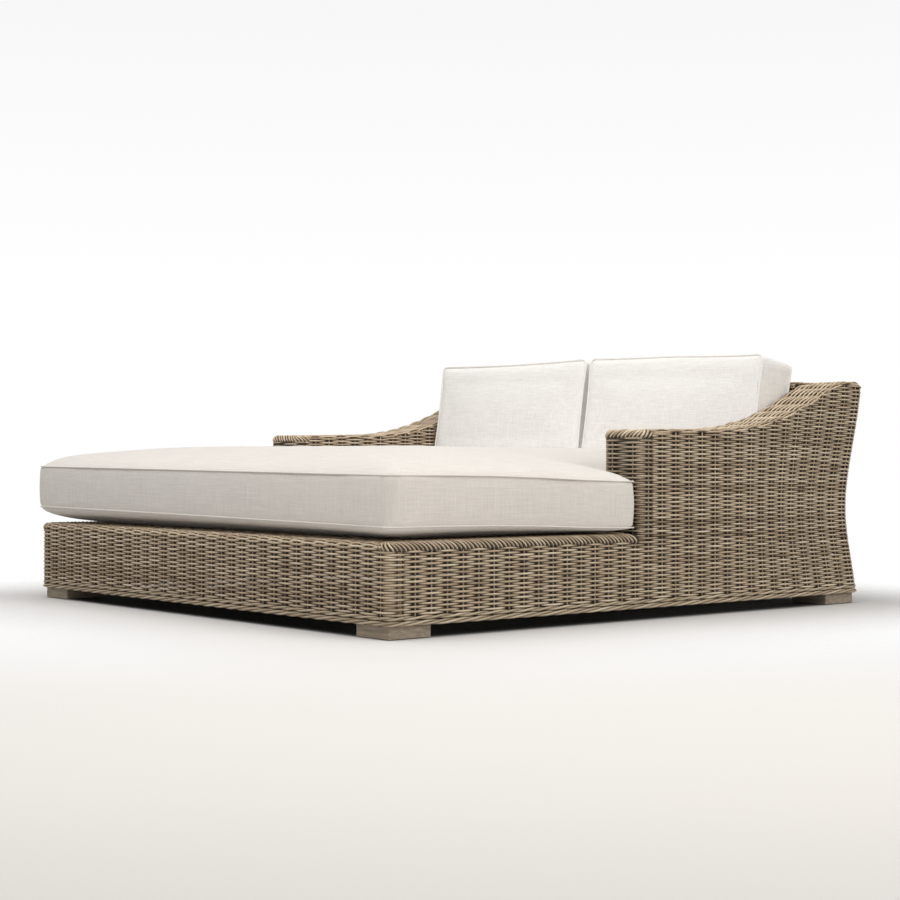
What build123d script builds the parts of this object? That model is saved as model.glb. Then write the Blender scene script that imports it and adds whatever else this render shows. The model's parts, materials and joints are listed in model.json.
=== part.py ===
"""Double chaise lounger: a woven body on four wood feet with three loose cushions.

Millimetres. +Z is up, +Y runs from the foot end to the back, +X is to the right
of someone at the foot end who looks at the back. The origin is on the floor,
under the middle of the woven body.
"""

import os
from math import cos, radians, sin, tan

from build123d import *

# Woven body
body_width = 1756
body_length = 1862
weave_bottom = 32
deck_height = 236
open_length = 867
arm_width = 151
arm_edge_height = 504
back_edge_height = 664
skin_thickness = 14
cap_thickness = 14
cap_round = 12
cap_margin = 0.3
corner_radius = 25
rim_radius = 19
rim_width = 60
border_height = 14
border_round = 4.5

# Rear edge of the body in side view, from the floor up
rear_bottom_inset = 24
waist_inset = 77
waist_height = 280
flare_middle_shares = (0.58, 0.5)
lean_middle_shares = (0.36, 0.46)

# Top edge of an arm in side view: shares of the arm's length and of its rise
arm_level_shares = (0.337, 0.045)
arm_slope_shares = (0.806, 0.79)
arm_crest_shares = (0.94, 1.0)

# Back
back_lean = 8
back_depth = 150

# Feet and what fastens them
foot_width = 130
foot_inset = 16
foot_edge_bevel = 2
glide_diameter = 40
glide_thickness = 5
glide_proud = 2
glide_clearance = 0.2
bolt_diameter = 8
bolt_head_diameter = 14
bolt_head_height = 5
bolt_length = 45
bolt_clearance = 0.3
bolt_setback = 95

# Frame
tube_width = 25
tube_wall = 2
bar_thickness = 8
rib_thickness = 12
rib_count = 5
open_bar_count = 3
covered_bar_count = 2
back_post_count = 4
front_post_count = 5
spacer_count = 3
arm_post_gap = 230

# Seat cushion
seat_overhang = 7
seat_front_overhang = 5
seat_arm_gap = 24
seat_side_gap = 5
seat_back_gap = 4
seat_belly = 32
seat_boxing = 124
seat_crown = 78
seat_corner_radius = 26
seat_notch_radius = 30
seat_front_draw = 14
seat_side_draw = 6
seat_boxing_swell = 3
seat_crown_reach = 300
seat_rear_reach = 420
seat_belly_reach = 200
seat_soften_share = 0.08

# Crown and belly of the seat cushion: shares of the rise, the side reach and the rear reach
seat_crown_shares = [(0, 0, 0), (0.2, 0.09, 0.05), (0.46, 0.26, 0.18), (0.71, 0.53, 0.55), (1, 1, 1)]
seat_belly_shares = [(0, 0, 0), (0.5, 0.16, 0.16), (0.85, 0.45, 0.45), (1, 1, 1)]

# Back cushions
pillow_depth = 163
pillow_crown = 13
pillow_height = 342
pillow_gap = 3
pillow_side_gap = 3
pillow_corner_radius = 24
pillow_draw = 6
pillow_boxing_swell = 2
pillow_crown_reach = 90
pillow_soften_share = 0.2

# Crown of a back cushion: shares of its rise and of its reach
pillow_crown_shares = [(0, 0), (0.4, 0.12), (0.76, 0.42), (1, 1)]

# Welts and zips of the cushions
welt_diameter = 7
soft_clearance = 0.3
zip_width = 30
tape_thickness = 1.2
chain_width = 6
chain_thickness = 2
slider_length = 16
slider_width = 11
slider_roof = 1.4
slider_clearance = 0.3
pull_length = 26
pull_width = 8
zip_end_gap = 120

# Cuts run past the faces that they open by this much
overrun = 5

# A place on a curve is found by halving its length this many times
halving_count = 30

# Places that follow from the sizes above
half_width = body_width / 2
foot_end = -body_length / 2
rear_end = body_length / 2
arm_front = foot_end + open_length
arm_inner = half_width - arm_width
arm_lining = arm_inner + skin_thickness
border_top = weave_bottom + border_height
base_edge = deck_height - rim_radius
deck_under = deck_height - skin_thickness
deck_side = half_width - rim_width
corner_depth = 2 * corner_radius
lower_top = weave_bottom + tube_width
upper_under = deck_under - tube_width
frame_side = half_width - skin_thickness
rail_side = frame_side - tube_width
frame_front = foot_end + skin_thickness
lean_slope = tan(radians(back_lean))
back_top = rear_end - back_depth
back_foot = back_top - (back_edge_height - deck_under) * lean_slope
back_rail = back_foot + skin_thickness
top_rail_under = back_edge_height - tube_width
seat_lower_welt = deck_height + seat_belly
seat_upper_welt = seat_lower_welt + seat_boxing
welt_radius = welt_diameter / 2
cover_inset = welt_diameter + soft_clearance

os.makedirs("parts", exist_ok=True)


def save(piece, name):
    """Name a finished piece and write it."""
    piece.part.label = name
    export_step(piece.part, f"parts/{name}.step")


# Outlines of the body that several pieces follow


def rear_edge(inset):
    """Points up the rear edge of the body, drawn in by inset."""
    bottom = rear_end - rear_bottom_inset - inset
    waist = rear_end - waist_inset - inset
    top = rear_end - inset
    flare_y, flare_z = flare_middle_shares
    lean_y, lean_z = lean_middle_shares
    return [
        (bottom, weave_bottom),
        (bottom + (waist - bottom) * flare_y, weave_bottom + (waist_height - weave_bottom) * flare_z),
        (waist, waist_height),
        (waist + (top - waist) * lean_y, waist_height + (back_edge_height - waist_height) * lean_z),
        (top, back_edge_height),
    ]


def rear_place(inset, height):
    """How far back the rear edge, drawn in by inset, is at this height."""
    edge = Spline(*rear_edge(inset))
    low, high = 0, 1
    for halving in range(halving_count):
        middle = (low + high) / 2
        if (edge @ middle).Y < height:
            low = middle
        else:
            high = middle
    return (edge @ low).X


def arm_edge(lift):
    """Points along the top edge of an arm, raised by lift."""
    length = rear_end - arm_front
    rise = back_edge_height - arm_edge_height
    shares = [(0, 0), arm_level_shares, arm_slope_shares, arm_crest_shares]
    return [(arm_front + length * run, arm_edge_height + rise * up + lift) for run, up in shares]


def side_face(inset):
    """The body from the side: its rear edge is drawn in, its front stays at arm height."""
    with BuildSketch() as face:
        with BuildLine():
            start, level, slope, crest = arm_edge(0)
            straight = Line(start, level)
            curve = TangentArc(level, slope, tangent=straight % 1)
            turn = TangentArc(slope, crest, tangent=curve % 1)
            rear = Spline(*rear_edge(inset))
            Line(turn @ 1, rear @ 1)
            Line(rear @ 0, (foot_end, weave_bottom))
            Line((foot_end, weave_bottom), (foot_end, arm_edge_height))
            Line((foot_end, arm_edge_height), start)
        make_face()
    return face.sketch_local


def cap_edge_round():
    """The round of a cap's edges, limited by the cap where its slope is steepest."""
    start, level, slope, crest = arm_edge(0)
    level_way = (level[0] - start[0], level[1] - start[1])
    steepest = TangentArc(level, slope, tangent=level_way) % 1
    return min(cap_round, cap_thickness * steepest.X - cap_margin)


def arm_band(low, high):
    """The strip between two copies of an arm's top edge, one at each lift."""
    with BuildSketch() as band:
        with BuildLine():
            lower = arm_edge(low)
            upper = arm_edge(high)
            lower_end = (rear_end, back_edge_height + low)
            upper_end = (rear_end, back_edge_height + high)
            for start, level, slope, crest, end in ((*lower, lower_end), (*upper, upper_end)):
                straight = Line(start, level)
                curve = TangentArc(level, slope, tangent=straight % 1)
                TangentArc(slope, crest, tangent=curve % 1)
                Line(crest, end)
            Line(lower[0], upper[0])
            Line(lower_end, upper_end)
        make_face()
    return band.sketch_local


def rear_band(near, far, low, high):
    """The strip between two copies of the rear edge, from one height to another."""
    with BuildSketch() as band:
        with BuildLine():
            outer = Spline(*rear_edge(near))
            inner = Spline(*rear_edge(far))
            Line(outer @ 0, inner @ 0)
            Line(outer @ 1, inner @ 1)
        make_face()
        with Locations((rear_end, (low + high) / 2)):
            Rectangle(body_length, high - low, mode=Mode.INTERSECT)
    return band.sketch_local


def corner_shell(left, right, front, low, high):
    """A skin that turns two rounded upright corners: a front with two short sides."""
    middle = (left + right) / 2
    lining_width = right - left - 2 * skin_thickness
    with BuildPart() as shell:
        with BuildSketch(Plane.XY.offset(low)) as outside:
            with Locations((middle, front)):
                Rectangle(right - left, corner_depth, align=(Align.CENTER, Align.MIN))
            fillet(outside.vertices().group_by(Axis.Y)[0], radius=corner_radius)
            with Locations((middle, front + skin_thickness)):
                Rectangle(
                    lining_width,
                    corner_depth,
                    align=(Align.CENTER, Align.MIN),
                    mode=Mode.SUBTRACT,
                )
        extrude(amount=high - low)
    return shell


def block(low, high):
    """A plain block between two opposite corners."""
    size = [b - a for a, b in zip(low, high)]
    middle = tuple((a + b) / 2 for a, b in zip(low, high))
    with BuildPart() as piece:
        with Locations(middle):
            Box(*size)
    return piece


def tube(size, corner):
    """A square tube, open at both ends, with this size from its low corner."""
    along = size.index(max(size))
    bore = [s if i == along else s - 2 * tube_wall for i, s in enumerate(size)]
    middle = tuple(c + s / 2 for c, s in zip(corner, size))
    with BuildPart() as piece:
        with Locations(middle):
            Box(*size)
            Box(*bore, mode=Mode.SUBTRACT)
    return piece


def drill(rail, places):
    """Bolt holes straight down through a rail."""
    with BuildPart() as drilled:
        add(rail.part)
        with Locations(*places):
            Cylinder(
                bolt_diameter / 2 + bolt_clearance,
                2 * tube_width + overrun,
                mode=Mode.SUBTRACT,
            )
    return drilled


def both_ways(places):
    """Each place with its mirror image across the middle of the body."""
    return [(side * x, y, z) for x, y, z in places for side in (-1, 1)]


def spread(first, last, count):
    """Evenly spaced values from the first to the last."""
    return [first + (last - first) * number / (count - 1) for number in range(count)]


# Feet: square blocks that are bolted up to the frame

flare_rail = rear_place(skin_thickness, lower_top) - tube_width
foot_side = half_width - foot_inset - foot_width / 2
foot_front_y = foot_end + foot_inset + foot_width / 2
foot_rear_y = rear_end - rear_bottom_inset - foot_inset - foot_width / 2
side_bolt_x = rail_side + tube_width / 2
cross_bolt_x = half_width - foot_inset - bolt_setback
front_bolts = both_ways(
    [
        (side_bolt_x, foot_end + foot_inset + bolt_setback, weave_bottom),
        (cross_bolt_x, frame_front + tube_width / 2, weave_bottom),
    ]
)
rear_bolts = both_ways(
    [
        (side_bolt_x, rear_end - rear_bottom_inset - foot_inset - bolt_setback, weave_bottom),
        (cross_bolt_x, flare_rail + tube_width / 2, weave_bottom),
    ]
)
feet = {
    "foot_front_left": (-foot_side, foot_front_y),
    "foot_front_right": (foot_side, foot_front_y),
    "foot_rear_left": (-foot_side, foot_rear_y),
    "foot_rear_right": (foot_side, foot_rear_y),
}
for name, (x, y) in feet.items():
    with BuildPart() as foot:
        with Locations((x, y, glide_proud)):
            Box(
                foot_width,
                foot_width,
                weave_bottom - glide_proud,
                align=(Align.CENTER, Align.CENTER, Align.MIN),
            )
        chamfer(foot.edges().filter_by(Axis.Z), length=foot_edge_bevel)
        with Locations((x, y, glide_proud)):
            Cylinder(
                glide_diameter / 2 + glide_clearance,
                2 * (glide_thickness - glide_proud),
                mode=Mode.SUBTRACT,
            )
        with Locations(*front_bolts, *rear_bolts):
            Cylinder(
                bolt_diameter / 2 + bolt_clearance,
                2 * (bolt_length - tube_width + bolt_clearance),
                mode=Mode.SUBTRACT,
            )
    save(foot, name)

with BuildPart() as foot_glides:
    with Locations(*[(x, y, 0) for x, y in feet.values()]):
        Cylinder(
            glide_diameter / 2,
            glide_thickness,
            align=(Align.CENTER, Align.CENTER, Align.MIN),
        )
save(foot_glides, "foot_glides")

with BuildPart() as foot_bolts:
    with Locations(*[(x, y, lower_top) for x, y, z in front_bolts + rear_bolts]):
        Cylinder(
            bolt_head_diameter / 2,
            bolt_head_height,
            align=(Align.CENTER, Align.CENTER, Align.MIN),
        )
        Cylinder(
            bolt_diameter / 2,
            bolt_length,
            align=(Align.CENTER, Align.CENTER, Align.MAX),
        )
save(foot_bolts, "foot_bolts")

# Lower ring of the frame, which stands on the feet

cross_size = (2 * frame_side, tube_width, tube_width)
side_start = frame_front + tube_width
lower_side_size = (tube_width, flare_rail - side_start, tube_width)
lower_front_rail = tube(cross_size, (-frame_side, frame_front, weave_bottom))
save(drill(lower_front_rail, front_bolts), "lower_front_rail")
lower_rear_rail = tube(cross_size, (-frame_side, flare_rail, weave_bottom))
save(drill(lower_rear_rail, rear_bolts), "lower_rear_rail")
for name, x in (("lower_left_rail", -frame_side), ("lower_right_rail", rail_side)):
    rail = tube(lower_side_size, (x, side_start, weave_bottom))
    save(drill(rail, front_bolts + rear_bolts), name)
lower_back_rail = tube(
    (2 * rail_side, tube_width, tube_width),
    (-rail_side, back_rail, weave_bottom),
)
save(lower_back_rail, "lower_back_rail")

# Upper ring of the frame, its crossbars and the beam under them

upper_side_size = (tube_width, back_rail - side_start, tube_width)
save(tube(cross_size, (-frame_side, frame_front, upper_under)), "upper_front_rail")
save(tube(cross_size, (-frame_side, back_rail, upper_under)), "upper_back_rail")
for name, x in (("upper_left_rail", -frame_side), ("upper_right_rail", rail_side)):
    save(tube(upper_side_size, (x, side_start, upper_under)), name)

arm_post_rows = (arm_front + skin_thickness, arm_front + skin_thickness + arm_post_gap)
crossbar_rows = spread(frame_front, arm_post_rows[0], open_bar_count + 2)[1:]
crossbar_rows += spread(arm_post_rows[1], back_rail, covered_bar_count + 1)[:-1]
with BuildPart() as deck_crossbars:
    for y in crossbar_rows:
        add(tube((2 * rail_side, tube_width, tube_width), (-rail_side, y, upper_under)).part)
save(deck_crossbars, "deck_crossbars")

centre_beam = tube(
    (tube_width, back_rail - side_start, tube_width),
    (-tube_width / 2, side_start, upper_under - tube_width),
)
save(centre_beam, "centre_beam")

# Short posts between the two rings

front_post_places = spread(-frame_side, rail_side, front_post_count)
post_places = [(x, frame_front) for x in front_post_places]
post_places += [(x, back_rail) for x in (-frame_side, -tube_width / 2, rail_side)]
post_places += [(x, arm_post_rows[0]) for x in (-frame_side, rail_side)]
with BuildPart() as base_posts:
    for x, y in post_places:
        add(tube((tube_width, tube_width, upper_under - lower_top), (x, y, lower_top)).part)
save(base_posts, "base_posts")

# Back frame: leaning posts and a front rail, bent ribs and a rear rail, spacers between

top_rail = back_top + skin_thickness
rear_top_rail = rear_place(skin_thickness + rib_thickness, top_rail_under) - tube_width
post_run = (top_rail_under - deck_under) / cos(radians(back_lean))
post_way = (0, sin(radians(back_lean)), cos(radians(back_lean)))
with BuildPart() as back_posts:
    for x in spread(-arm_inner + tube_width, arm_inner - tube_width, back_post_count):
        with BuildSketch(Plane.XY.offset(deck_under)):
            with Locations((x, back_rail + tube_width / 2)):
                Rectangle(tube_width, tube_width)
                Rectangle(tube_width - 2 * tube_wall, tube_width - 2 * tube_wall, mode=Mode.SUBTRACT)
        extrude(amount=post_run, dir=post_way)
save(back_posts, "back_posts")

back_top_rail = tube(
    (2 * arm_inner, tube_width, tube_width),
    (-arm_inner, top_rail, top_rail_under),
)
save(back_top_rail, "back_top_rail")
save(tube(cross_size, (-frame_side, rear_top_rail, top_rail_under)), "back_rear_rail")

with BuildPart() as back_ribs:
    for x in spread(-frame_side, rail_side, rib_count):
        with BuildSketch(Plane.YZ.offset(x)):
            add(
                rear_band(
                    skin_thickness,
                    skin_thickness + rib_thickness,
                    lower_top,
                    back_edge_height,
                )
            )
        extrude(amount=tube_width)
save(back_ribs, "back_ribs")

spacer_length = rear_top_rail - top_rail - tube_width
with BuildPart() as back_spacers:
    for x in spread(-arm_inner / 2, arm_inner / 2, spacer_count):
        spacer = tube(
            (tube_width, spacer_length, tube_width),
            (x - tube_width / 2, top_rail + tube_width, top_rail_under),
        )
        add(spacer.part)
save(back_spacers, "back_spacers")

# Arm frames: posts under bent bars that carry the caps

bar_start = arm_front + skin_thickness
bar_places = (arm_lining, rail_side)
for side in ("left", "right"):
    with BuildPart() as arm_bars:
        for x in bar_places:
            with BuildSketch(Plane.YZ.offset(x)):
                add(arm_band(-bar_thickness, 0))
                with Locations(((bar_start + rear_top_rail) / 2, arm_edge_height)):
                    Rectangle(rear_top_rail - bar_start, body_length, mode=Mode.INTERSECT)
            extrude(amount=tube_width)
        if side == "left":
            mirror(about=Plane.YZ, mode=Mode.REPLACE)
    save(arm_bars, f"arm_bars_{side}")

with BuildPart() as arm_posts:
    for x in bar_places:
        for y in arm_post_rows:
            size = (tube_width, tube_width, back_edge_height - deck_under)
            add(tube(size, (x, y, deck_under)).part)
    with BuildSketch(Plane.YZ.offset(arm_inner)):
        add(side_face(0))
        add(arm_band(-bar_thickness, 0), mode=Mode.SUBTRACT)
    extrude(amount=arm_width, mode=Mode.INTERSECT)
    mirror(about=Plane.YZ)
save(arm_posts, "arm_posts")

# Woven skin of the base: foot end, sides, and the rope edge along the bottom

base_front_panel = corner_shell(-half_width, half_width, foot_end, border_top, base_edge)
save(base_front_panel, "base_front_panel")

for side in ("left", "right"):
    with BuildPart() as base_side_panel:
        with BuildSketch(Plane.YZ.offset(frame_side)):
            add(side_face(skin_thickness))
            with Locations((foot_end + corner_depth, border_top)):
                Rectangle(
                    body_length,
                    base_edge - border_top,
                    align=(Align.MIN, Align.MIN),
                    mode=Mode.INTERSECT,
                )
        extrude(amount=skin_thickness)
        if side == "left":
            mirror(about=Plane.YZ, mode=Mode.REPLACE)
    save(base_side_panel, f"base_side_panel_{side}")

border_rear = rear_place(0, border_top)
with BuildPart() as border_ring:
    with BuildSketch(Plane.XY.offset(weave_bottom)) as border_plan:
        with Locations((0, foot_end)):
            Rectangle(body_width, border_rear - foot_end, align=(Align.CENTER, Align.MIN))
        fillet(border_plan.vertices(), radius=corner_radius)
        with Locations((0, frame_front)):
            Rectangle(
                2 * frame_side,
                border_rear - foot_end - 2 * skin_thickness,
                align=(Align.CENTER, Align.MIN),
                mode=Mode.SUBTRACT,
            )
    extrude(amount=border_height)
    outside_edges = border_ring.faces().sort_by(Axis.Z)[0].outer_wire().edges()
    outside_edges += border_ring.faces().sort_by(Axis.Z)[-1].outer_wire().edges()
    fillet(outside_edges, radius=border_round)

with BuildPart() as border_front:
    add(border_ring.part)
    add(
        block(
            (-body_width, foot_end - overrun, 0),
            (body_width, foot_end + corner_depth, deck_height),
        ).part,
        mode=Mode.INTERSECT,
    )
save(border_front, "border_front")
with BuildPart() as border_rear_piece:
    add(border_ring.part)
    add(
        block(
            (-body_width, border_rear - corner_depth, 0),
            (body_width, border_rear + overrun, deck_height),
        ).part,
        mode=Mode.INTERSECT,
    )
save(border_rear_piece, "border_rear")
with BuildPart() as border_sides:
    add(border_ring.part)
    add(
        block(
            (-body_width, foot_end + corner_depth, 0),
            (body_width, border_rear - corner_depth, deck_height),
        ).part,
        mode=Mode.INTERSECT,
    )
save(border_sides, "border_sides")

# Woven deck, and the rolled rim that frames it where the base is open

with BuildPart() as deck_panel:
    with BuildSketch(Plane.XY.offset(deck_under)):
        with Locations((0, foot_end + rim_width)):
            Rectangle(
                2 * deck_side,
                bar_start - foot_end - rim_width,
                align=(Align.CENTER, Align.MIN),
            )
            Rectangle(
                2 * arm_inner,
                back_foot - foot_end - rim_width,
                align=(Align.CENTER, Align.MIN),
            )
    extrude(amount=skin_thickness)
save(deck_panel, "deck_panel")

with BuildPart() as rim_ring:
    with BuildSketch(Plane.XY.offset(base_edge)) as rim_plan:
        with Locations((0, foot_end)):
            Rectangle(body_width, open_length, align=(Align.CENTER, Align.MIN))
        fillet(rim_plan.vertices().group_by(Axis.Y)[0], radius=corner_radius)
    extrude(amount=rim_radius)
    top_edges = rim_ring.faces().sort_by(Axis.Z)[-1].edges()
    fillet(top_edges - top_edges.group_by(Axis.Y)[-1], radius=rim_radius - soft_clearance)
    add(
        block(
            (-frame_side, frame_front, base_edge - overrun),
            (frame_side, rear_end, deck_under),
        ).part,
        mode=Mode.SUBTRACT,
    )
    add(
        block(
            (-deck_side, foot_end + rim_width, base_edge - overrun),
            (deck_side, rear_end, deck_height + overrun),
        ).part,
        mode=Mode.SUBTRACT,
    )
rim_cut = foot_end + rim_width
rims = {
    "rim_front": ((-body_width, foot_end - overrun, 0), (body_width, rim_cut, back_edge_height)),
    "rim_left": ((-body_width, rim_cut, 0), (0, rear_end, back_edge_height)),
    "rim_right": ((0, rim_cut, 0), (body_width, rear_end, back_edge_height)),
}
for name, (low, high) in rims.items():
    with BuildPart() as rim:
        add(rim_ring.part)
        add(block(low, high).part, mode=Mode.INTERSECT)
    save(rim, name)

# Woven skins of the arms

front_shell = corner_shell(arm_inner, half_width, arm_front, base_edge, back_edge_height)
for side in ("left", "right"):
    with BuildPart() as arm_front_panel:
        add(front_shell.part)
        with BuildSketch(Plane.YZ.offset(arm_inner - overrun)):
            add(side_face(0))
        extrude(amount=arm_width + 2 * overrun, mode=Mode.INTERSECT)
        add(
            block(
                (0, arm_front - overrun, 0),
                (deck_side, bar_start, deck_height),
            ).part,
            mode=Mode.SUBTRACT,
        )
        add(
            block(
                (0, arm_front - overrun, 0),
                (frame_side, rear_end, deck_under),
            ).part,
            mode=Mode.SUBTRACT,
        )
        if side == "left":
            mirror(about=Plane.YZ, mode=Mode.REPLACE)
    save(arm_front_panel, f"arm_front_panel_{side}")

    with BuildPart() as arm_outer_panel:
        with BuildSketch(Plane.YZ.offset(frame_side)):
            add(side_face(skin_thickness))
            with Locations((arm_front + corner_depth, base_edge)):
                Rectangle(
                    body_length,
                    back_edge_height,
                    align=(Align.MIN, Align.MIN),
                    mode=Mode.INTERSECT,
                )
        extrude(amount=skin_thickness)
        if side == "left":
            mirror(about=Plane.YZ, mode=Mode.REPLACE)
    save(arm_outer_panel, f"arm_outer_panel_{side}")

    with BuildPart() as arm_inner_panel:
        with BuildSketch(Plane.YZ.offset(arm_inner)):
            add(side_face(0))
            with BuildLine():
                Polyline(
                    (arm_front + corner_depth, deck_under),
                    (back_rail, deck_under),
                    (top_rail, back_edge_height),
                    (arm_front + corner_depth, back_edge_height),
                    close=True,
                )
            make_face(mode=Mode.INTERSECT)
        extrude(amount=skin_thickness)
        if side == "left":
            mirror(about=Plane.YZ, mode=Mode.REPLACE)
    save(arm_inner_panel, f"arm_inner_panel_{side}")

    with BuildPart() as arm_cap:
        with BuildSketch(Plane.YZ.offset(arm_inner)):
            add(arm_band(0, cap_thickness))
        extrude(amount=arm_width)
        front_corners = arm_cap.edges().filter_by(Axis.Z).group_by(Axis.Y)[0]
        fillet(front_corners, radius=corner_radius)
        rear_corner = arm_cap.edges().filter_by(Axis.Z).group_by(Axis.Y)[-1].sort_by(Axis.X)[-1]
        fillet(rear_corner, radius=cap_round)
        top_faces = arm_cap.faces().filter_by(lambda face: face.normal_at().Z > abs(face.normal_at().Y))
        loops = ShapeList(edge for face in top_faces for edge in face.edges())
        rims_of_cap = ShapeList(edge for edge in loops if loops.count(edge) == 1)
        fillet(rims_of_cap - rims_of_cap.group_by(Axis.Y)[-1], radius=cap_edge_round())
        if side == "left":
            mirror(about=Plane.YZ, mode=Mode.REPLACE)
    save(arm_cap, f"arm_cap_{side}")

# Woven skins of the back

with BuildPart() as back_inner_panel:
    with BuildSketch(Plane.YZ.offset(-arm_inner)):
        with BuildLine():
            Polyline(
                (back_foot, deck_under),
                (back_rail, deck_under),
                (top_rail, back_edge_height),
                (back_top, back_edge_height),
                close=True,
            )
        make_face()
    extrude(amount=2 * arm_inner)
save(back_inner_panel, "back_inner_panel")

with BuildPart() as back_outer_panel:
    with BuildSketch(Plane.YZ.offset(-half_width)):
        add(rear_band(0, skin_thickness, border_top, back_edge_height))
    extrude(amount=body_width)
    side_faces = back_outer_panel.faces().filter_by(Axis.X)
    rear_corners = ShapeList(face.edges().sort_by(Axis.Y)[-1] for face in side_faces)
    fillet(rear_corners, radius=cap_round)
save(back_outer_panel, "back_outer_panel")

with BuildPart() as back_cap:
    add(
        block(
            (-arm_inner, back_top, back_edge_height),
            (arm_inner, rear_end, back_edge_height + cap_thickness),
        ).part
    )
    long_edges = back_cap.faces().sort_by(Axis.Z)[-1].edges().filter_by(Axis.X)
    fillet(long_edges, radius=cap_round)
save(back_cap, "back_cap")

# Seat cushion: one T-shaped cushion with wings in front of the arms


def seat_outline(side_inset, rear_inset, radius):
    """The cushion's outline from above, drawn in all round, with rounded corners."""
    wing = half_width + seat_overhang - side_inset
    body = arm_inner - seat_side_gap - side_inset
    front = foot_end - seat_front_overhang + side_inset
    step = arm_front - seat_arm_gap - side_inset
    rear = back_foot - seat_back_gap - rear_inset
    middle = (front + step) / 2
    corners = [(wing, step), (body, step), (body, rear), (-body, rear), (-body, step), (-wing, step)]
    with BuildSketch() as outline:
        with BuildLine():
            ThreePointArc((-wing, front), (0, front + seat_front_draw), (wing, front))
            ThreePointArc((wing, front), (wing - seat_side_draw, middle), (wing, step))
            Polyline(*corners)
            ThreePointArc((-wing, step), (-wing + seat_side_draw, middle), (-wing, front))
        make_face()
        rows = outline.vertices().group_by(Axis.Y)
        notches = rows[1].sort_by(Axis.X)[1:3]
        fillet(notches, radius=seat_notch_radius + side_inset * seat_soften_share)
        rows = outline.vertices().group_by(Axis.Y)
        fillet(rows[0] + rows[-1], radius=radius)
        wing_corners = outline.vertices().sort_by(Axis.X)
        fillet([wing_corners[0], wing_corners[-1]], radius=radius)
    return outline.sketch_local


def seat_level(level, side_inset, rear_inset):
    """One level of the seat cushion's form."""
    radius = seat_corner_radius - cover_inset + side_inset * seat_soften_share
    with BuildSketch(Plane.XY.offset(level)) as plan:
        add(seat_outline(cover_inset + side_inset, cover_inset + rear_inset, radius))
    return plan.sketch


seat_belly_drop = seat_belly - soft_clearance
seat_boxing_middle = (seat_lower_welt + seat_upper_welt) / 2
with BuildPart() as seat_cushion:
    for drop_share, side_share, rear_share in seat_belly_shares:
        level = seat_lower_welt - seat_belly_drop * drop_share
        add(seat_level(level, seat_belly_reach * side_share, seat_belly_reach * rear_share))
    loft()
    add(seat_level(seat_lower_welt, 0, 0))
    add(seat_level(seat_boxing_middle, -seat_boxing_swell, -seat_boxing_swell))
    add(seat_level(seat_upper_welt, 0, 0))
    loft()
    for rise_share, side_share, rear_share in seat_crown_shares:
        level = seat_upper_welt + seat_crown * rise_share
        add(seat_level(level, seat_crown_reach * side_share, seat_rear_reach * rear_share))
    loft()
save(seat_cushion, "seat_cushion")

with BuildPart() as seat_welts:
    for level in (seat_lower_welt, seat_upper_welt):
        with BuildSketch(Plane.XY.offset(level), mode=Mode.PRIVATE) as seam:
            add(seat_outline(welt_radius, welt_radius, seat_corner_radius - welt_radius))
        path = seam.sketch.faces()[0].outer_wire()
        with BuildSketch(Plane(path @ 0, z_dir=path % 0)):
            Circle(welt_radius)
        sweep(path=path)
save(seat_welts, "seat_welts")

# Back cushions: loose cushions that stand on the seat cushion and lean on the back


def pillow_plane(middle):
    """The lean of the back: its X runs across, its Y up the back, its Z out to the front."""
    lean = radians(back_lean)
    return Plane(origin=(middle, back_foot, deck_under), x_dir=(1, 0, 0), z_dir=(0, -cos(lean), sin(lean)))


def seat_top(place, width, near, far):
    """How far up this plane the seat cushion reaches between two distances out from it."""
    with BuildPart() as under:
        with BuildSketch(place.offset(near)):
            Rectangle(width, 2 * (seat_upper_welt + seat_crown))
        extrude(amount=far - near)
        add(seat_cushion.part, mode=Mode.INTERSECT)
    return place.to_local_coords(under.part).bounding_box().max.Y


def pillow_outline(inset, radius):
    """A back cushion's outline seen square on, drawn in all round, with rounded corners."""
    side = pillow_width / 2 - inset
    foot = pillow_foot_rise + inset
    head = pillow_foot_rise + pillow_height - inset
    middle = (foot + head) / 2
    with BuildSketch() as outline:
        with BuildLine():
            Line((-side, foot), (side, foot))
            ThreePointArc((side, foot), (side - pillow_draw, middle), (side, head))
            ThreePointArc((side, head), (0, head - pillow_draw), (-side, head))
            ThreePointArc((-side, head), (-side + pillow_draw, middle), (-side, foot))
        make_face()
        fillet(outline.vertices(), radius=radius)
    return outline.sketch_local


def pillow_level(place, depth, inset):
    """One level of a back cushion's form, this far out from the back."""
    radius = pillow_corner_radius - cover_inset + inset * pillow_soften_share
    with BuildSketch(place.offset(depth)) as plan:
        add(pillow_outline(cover_inset + inset, radius))
    return plan.sketch


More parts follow.
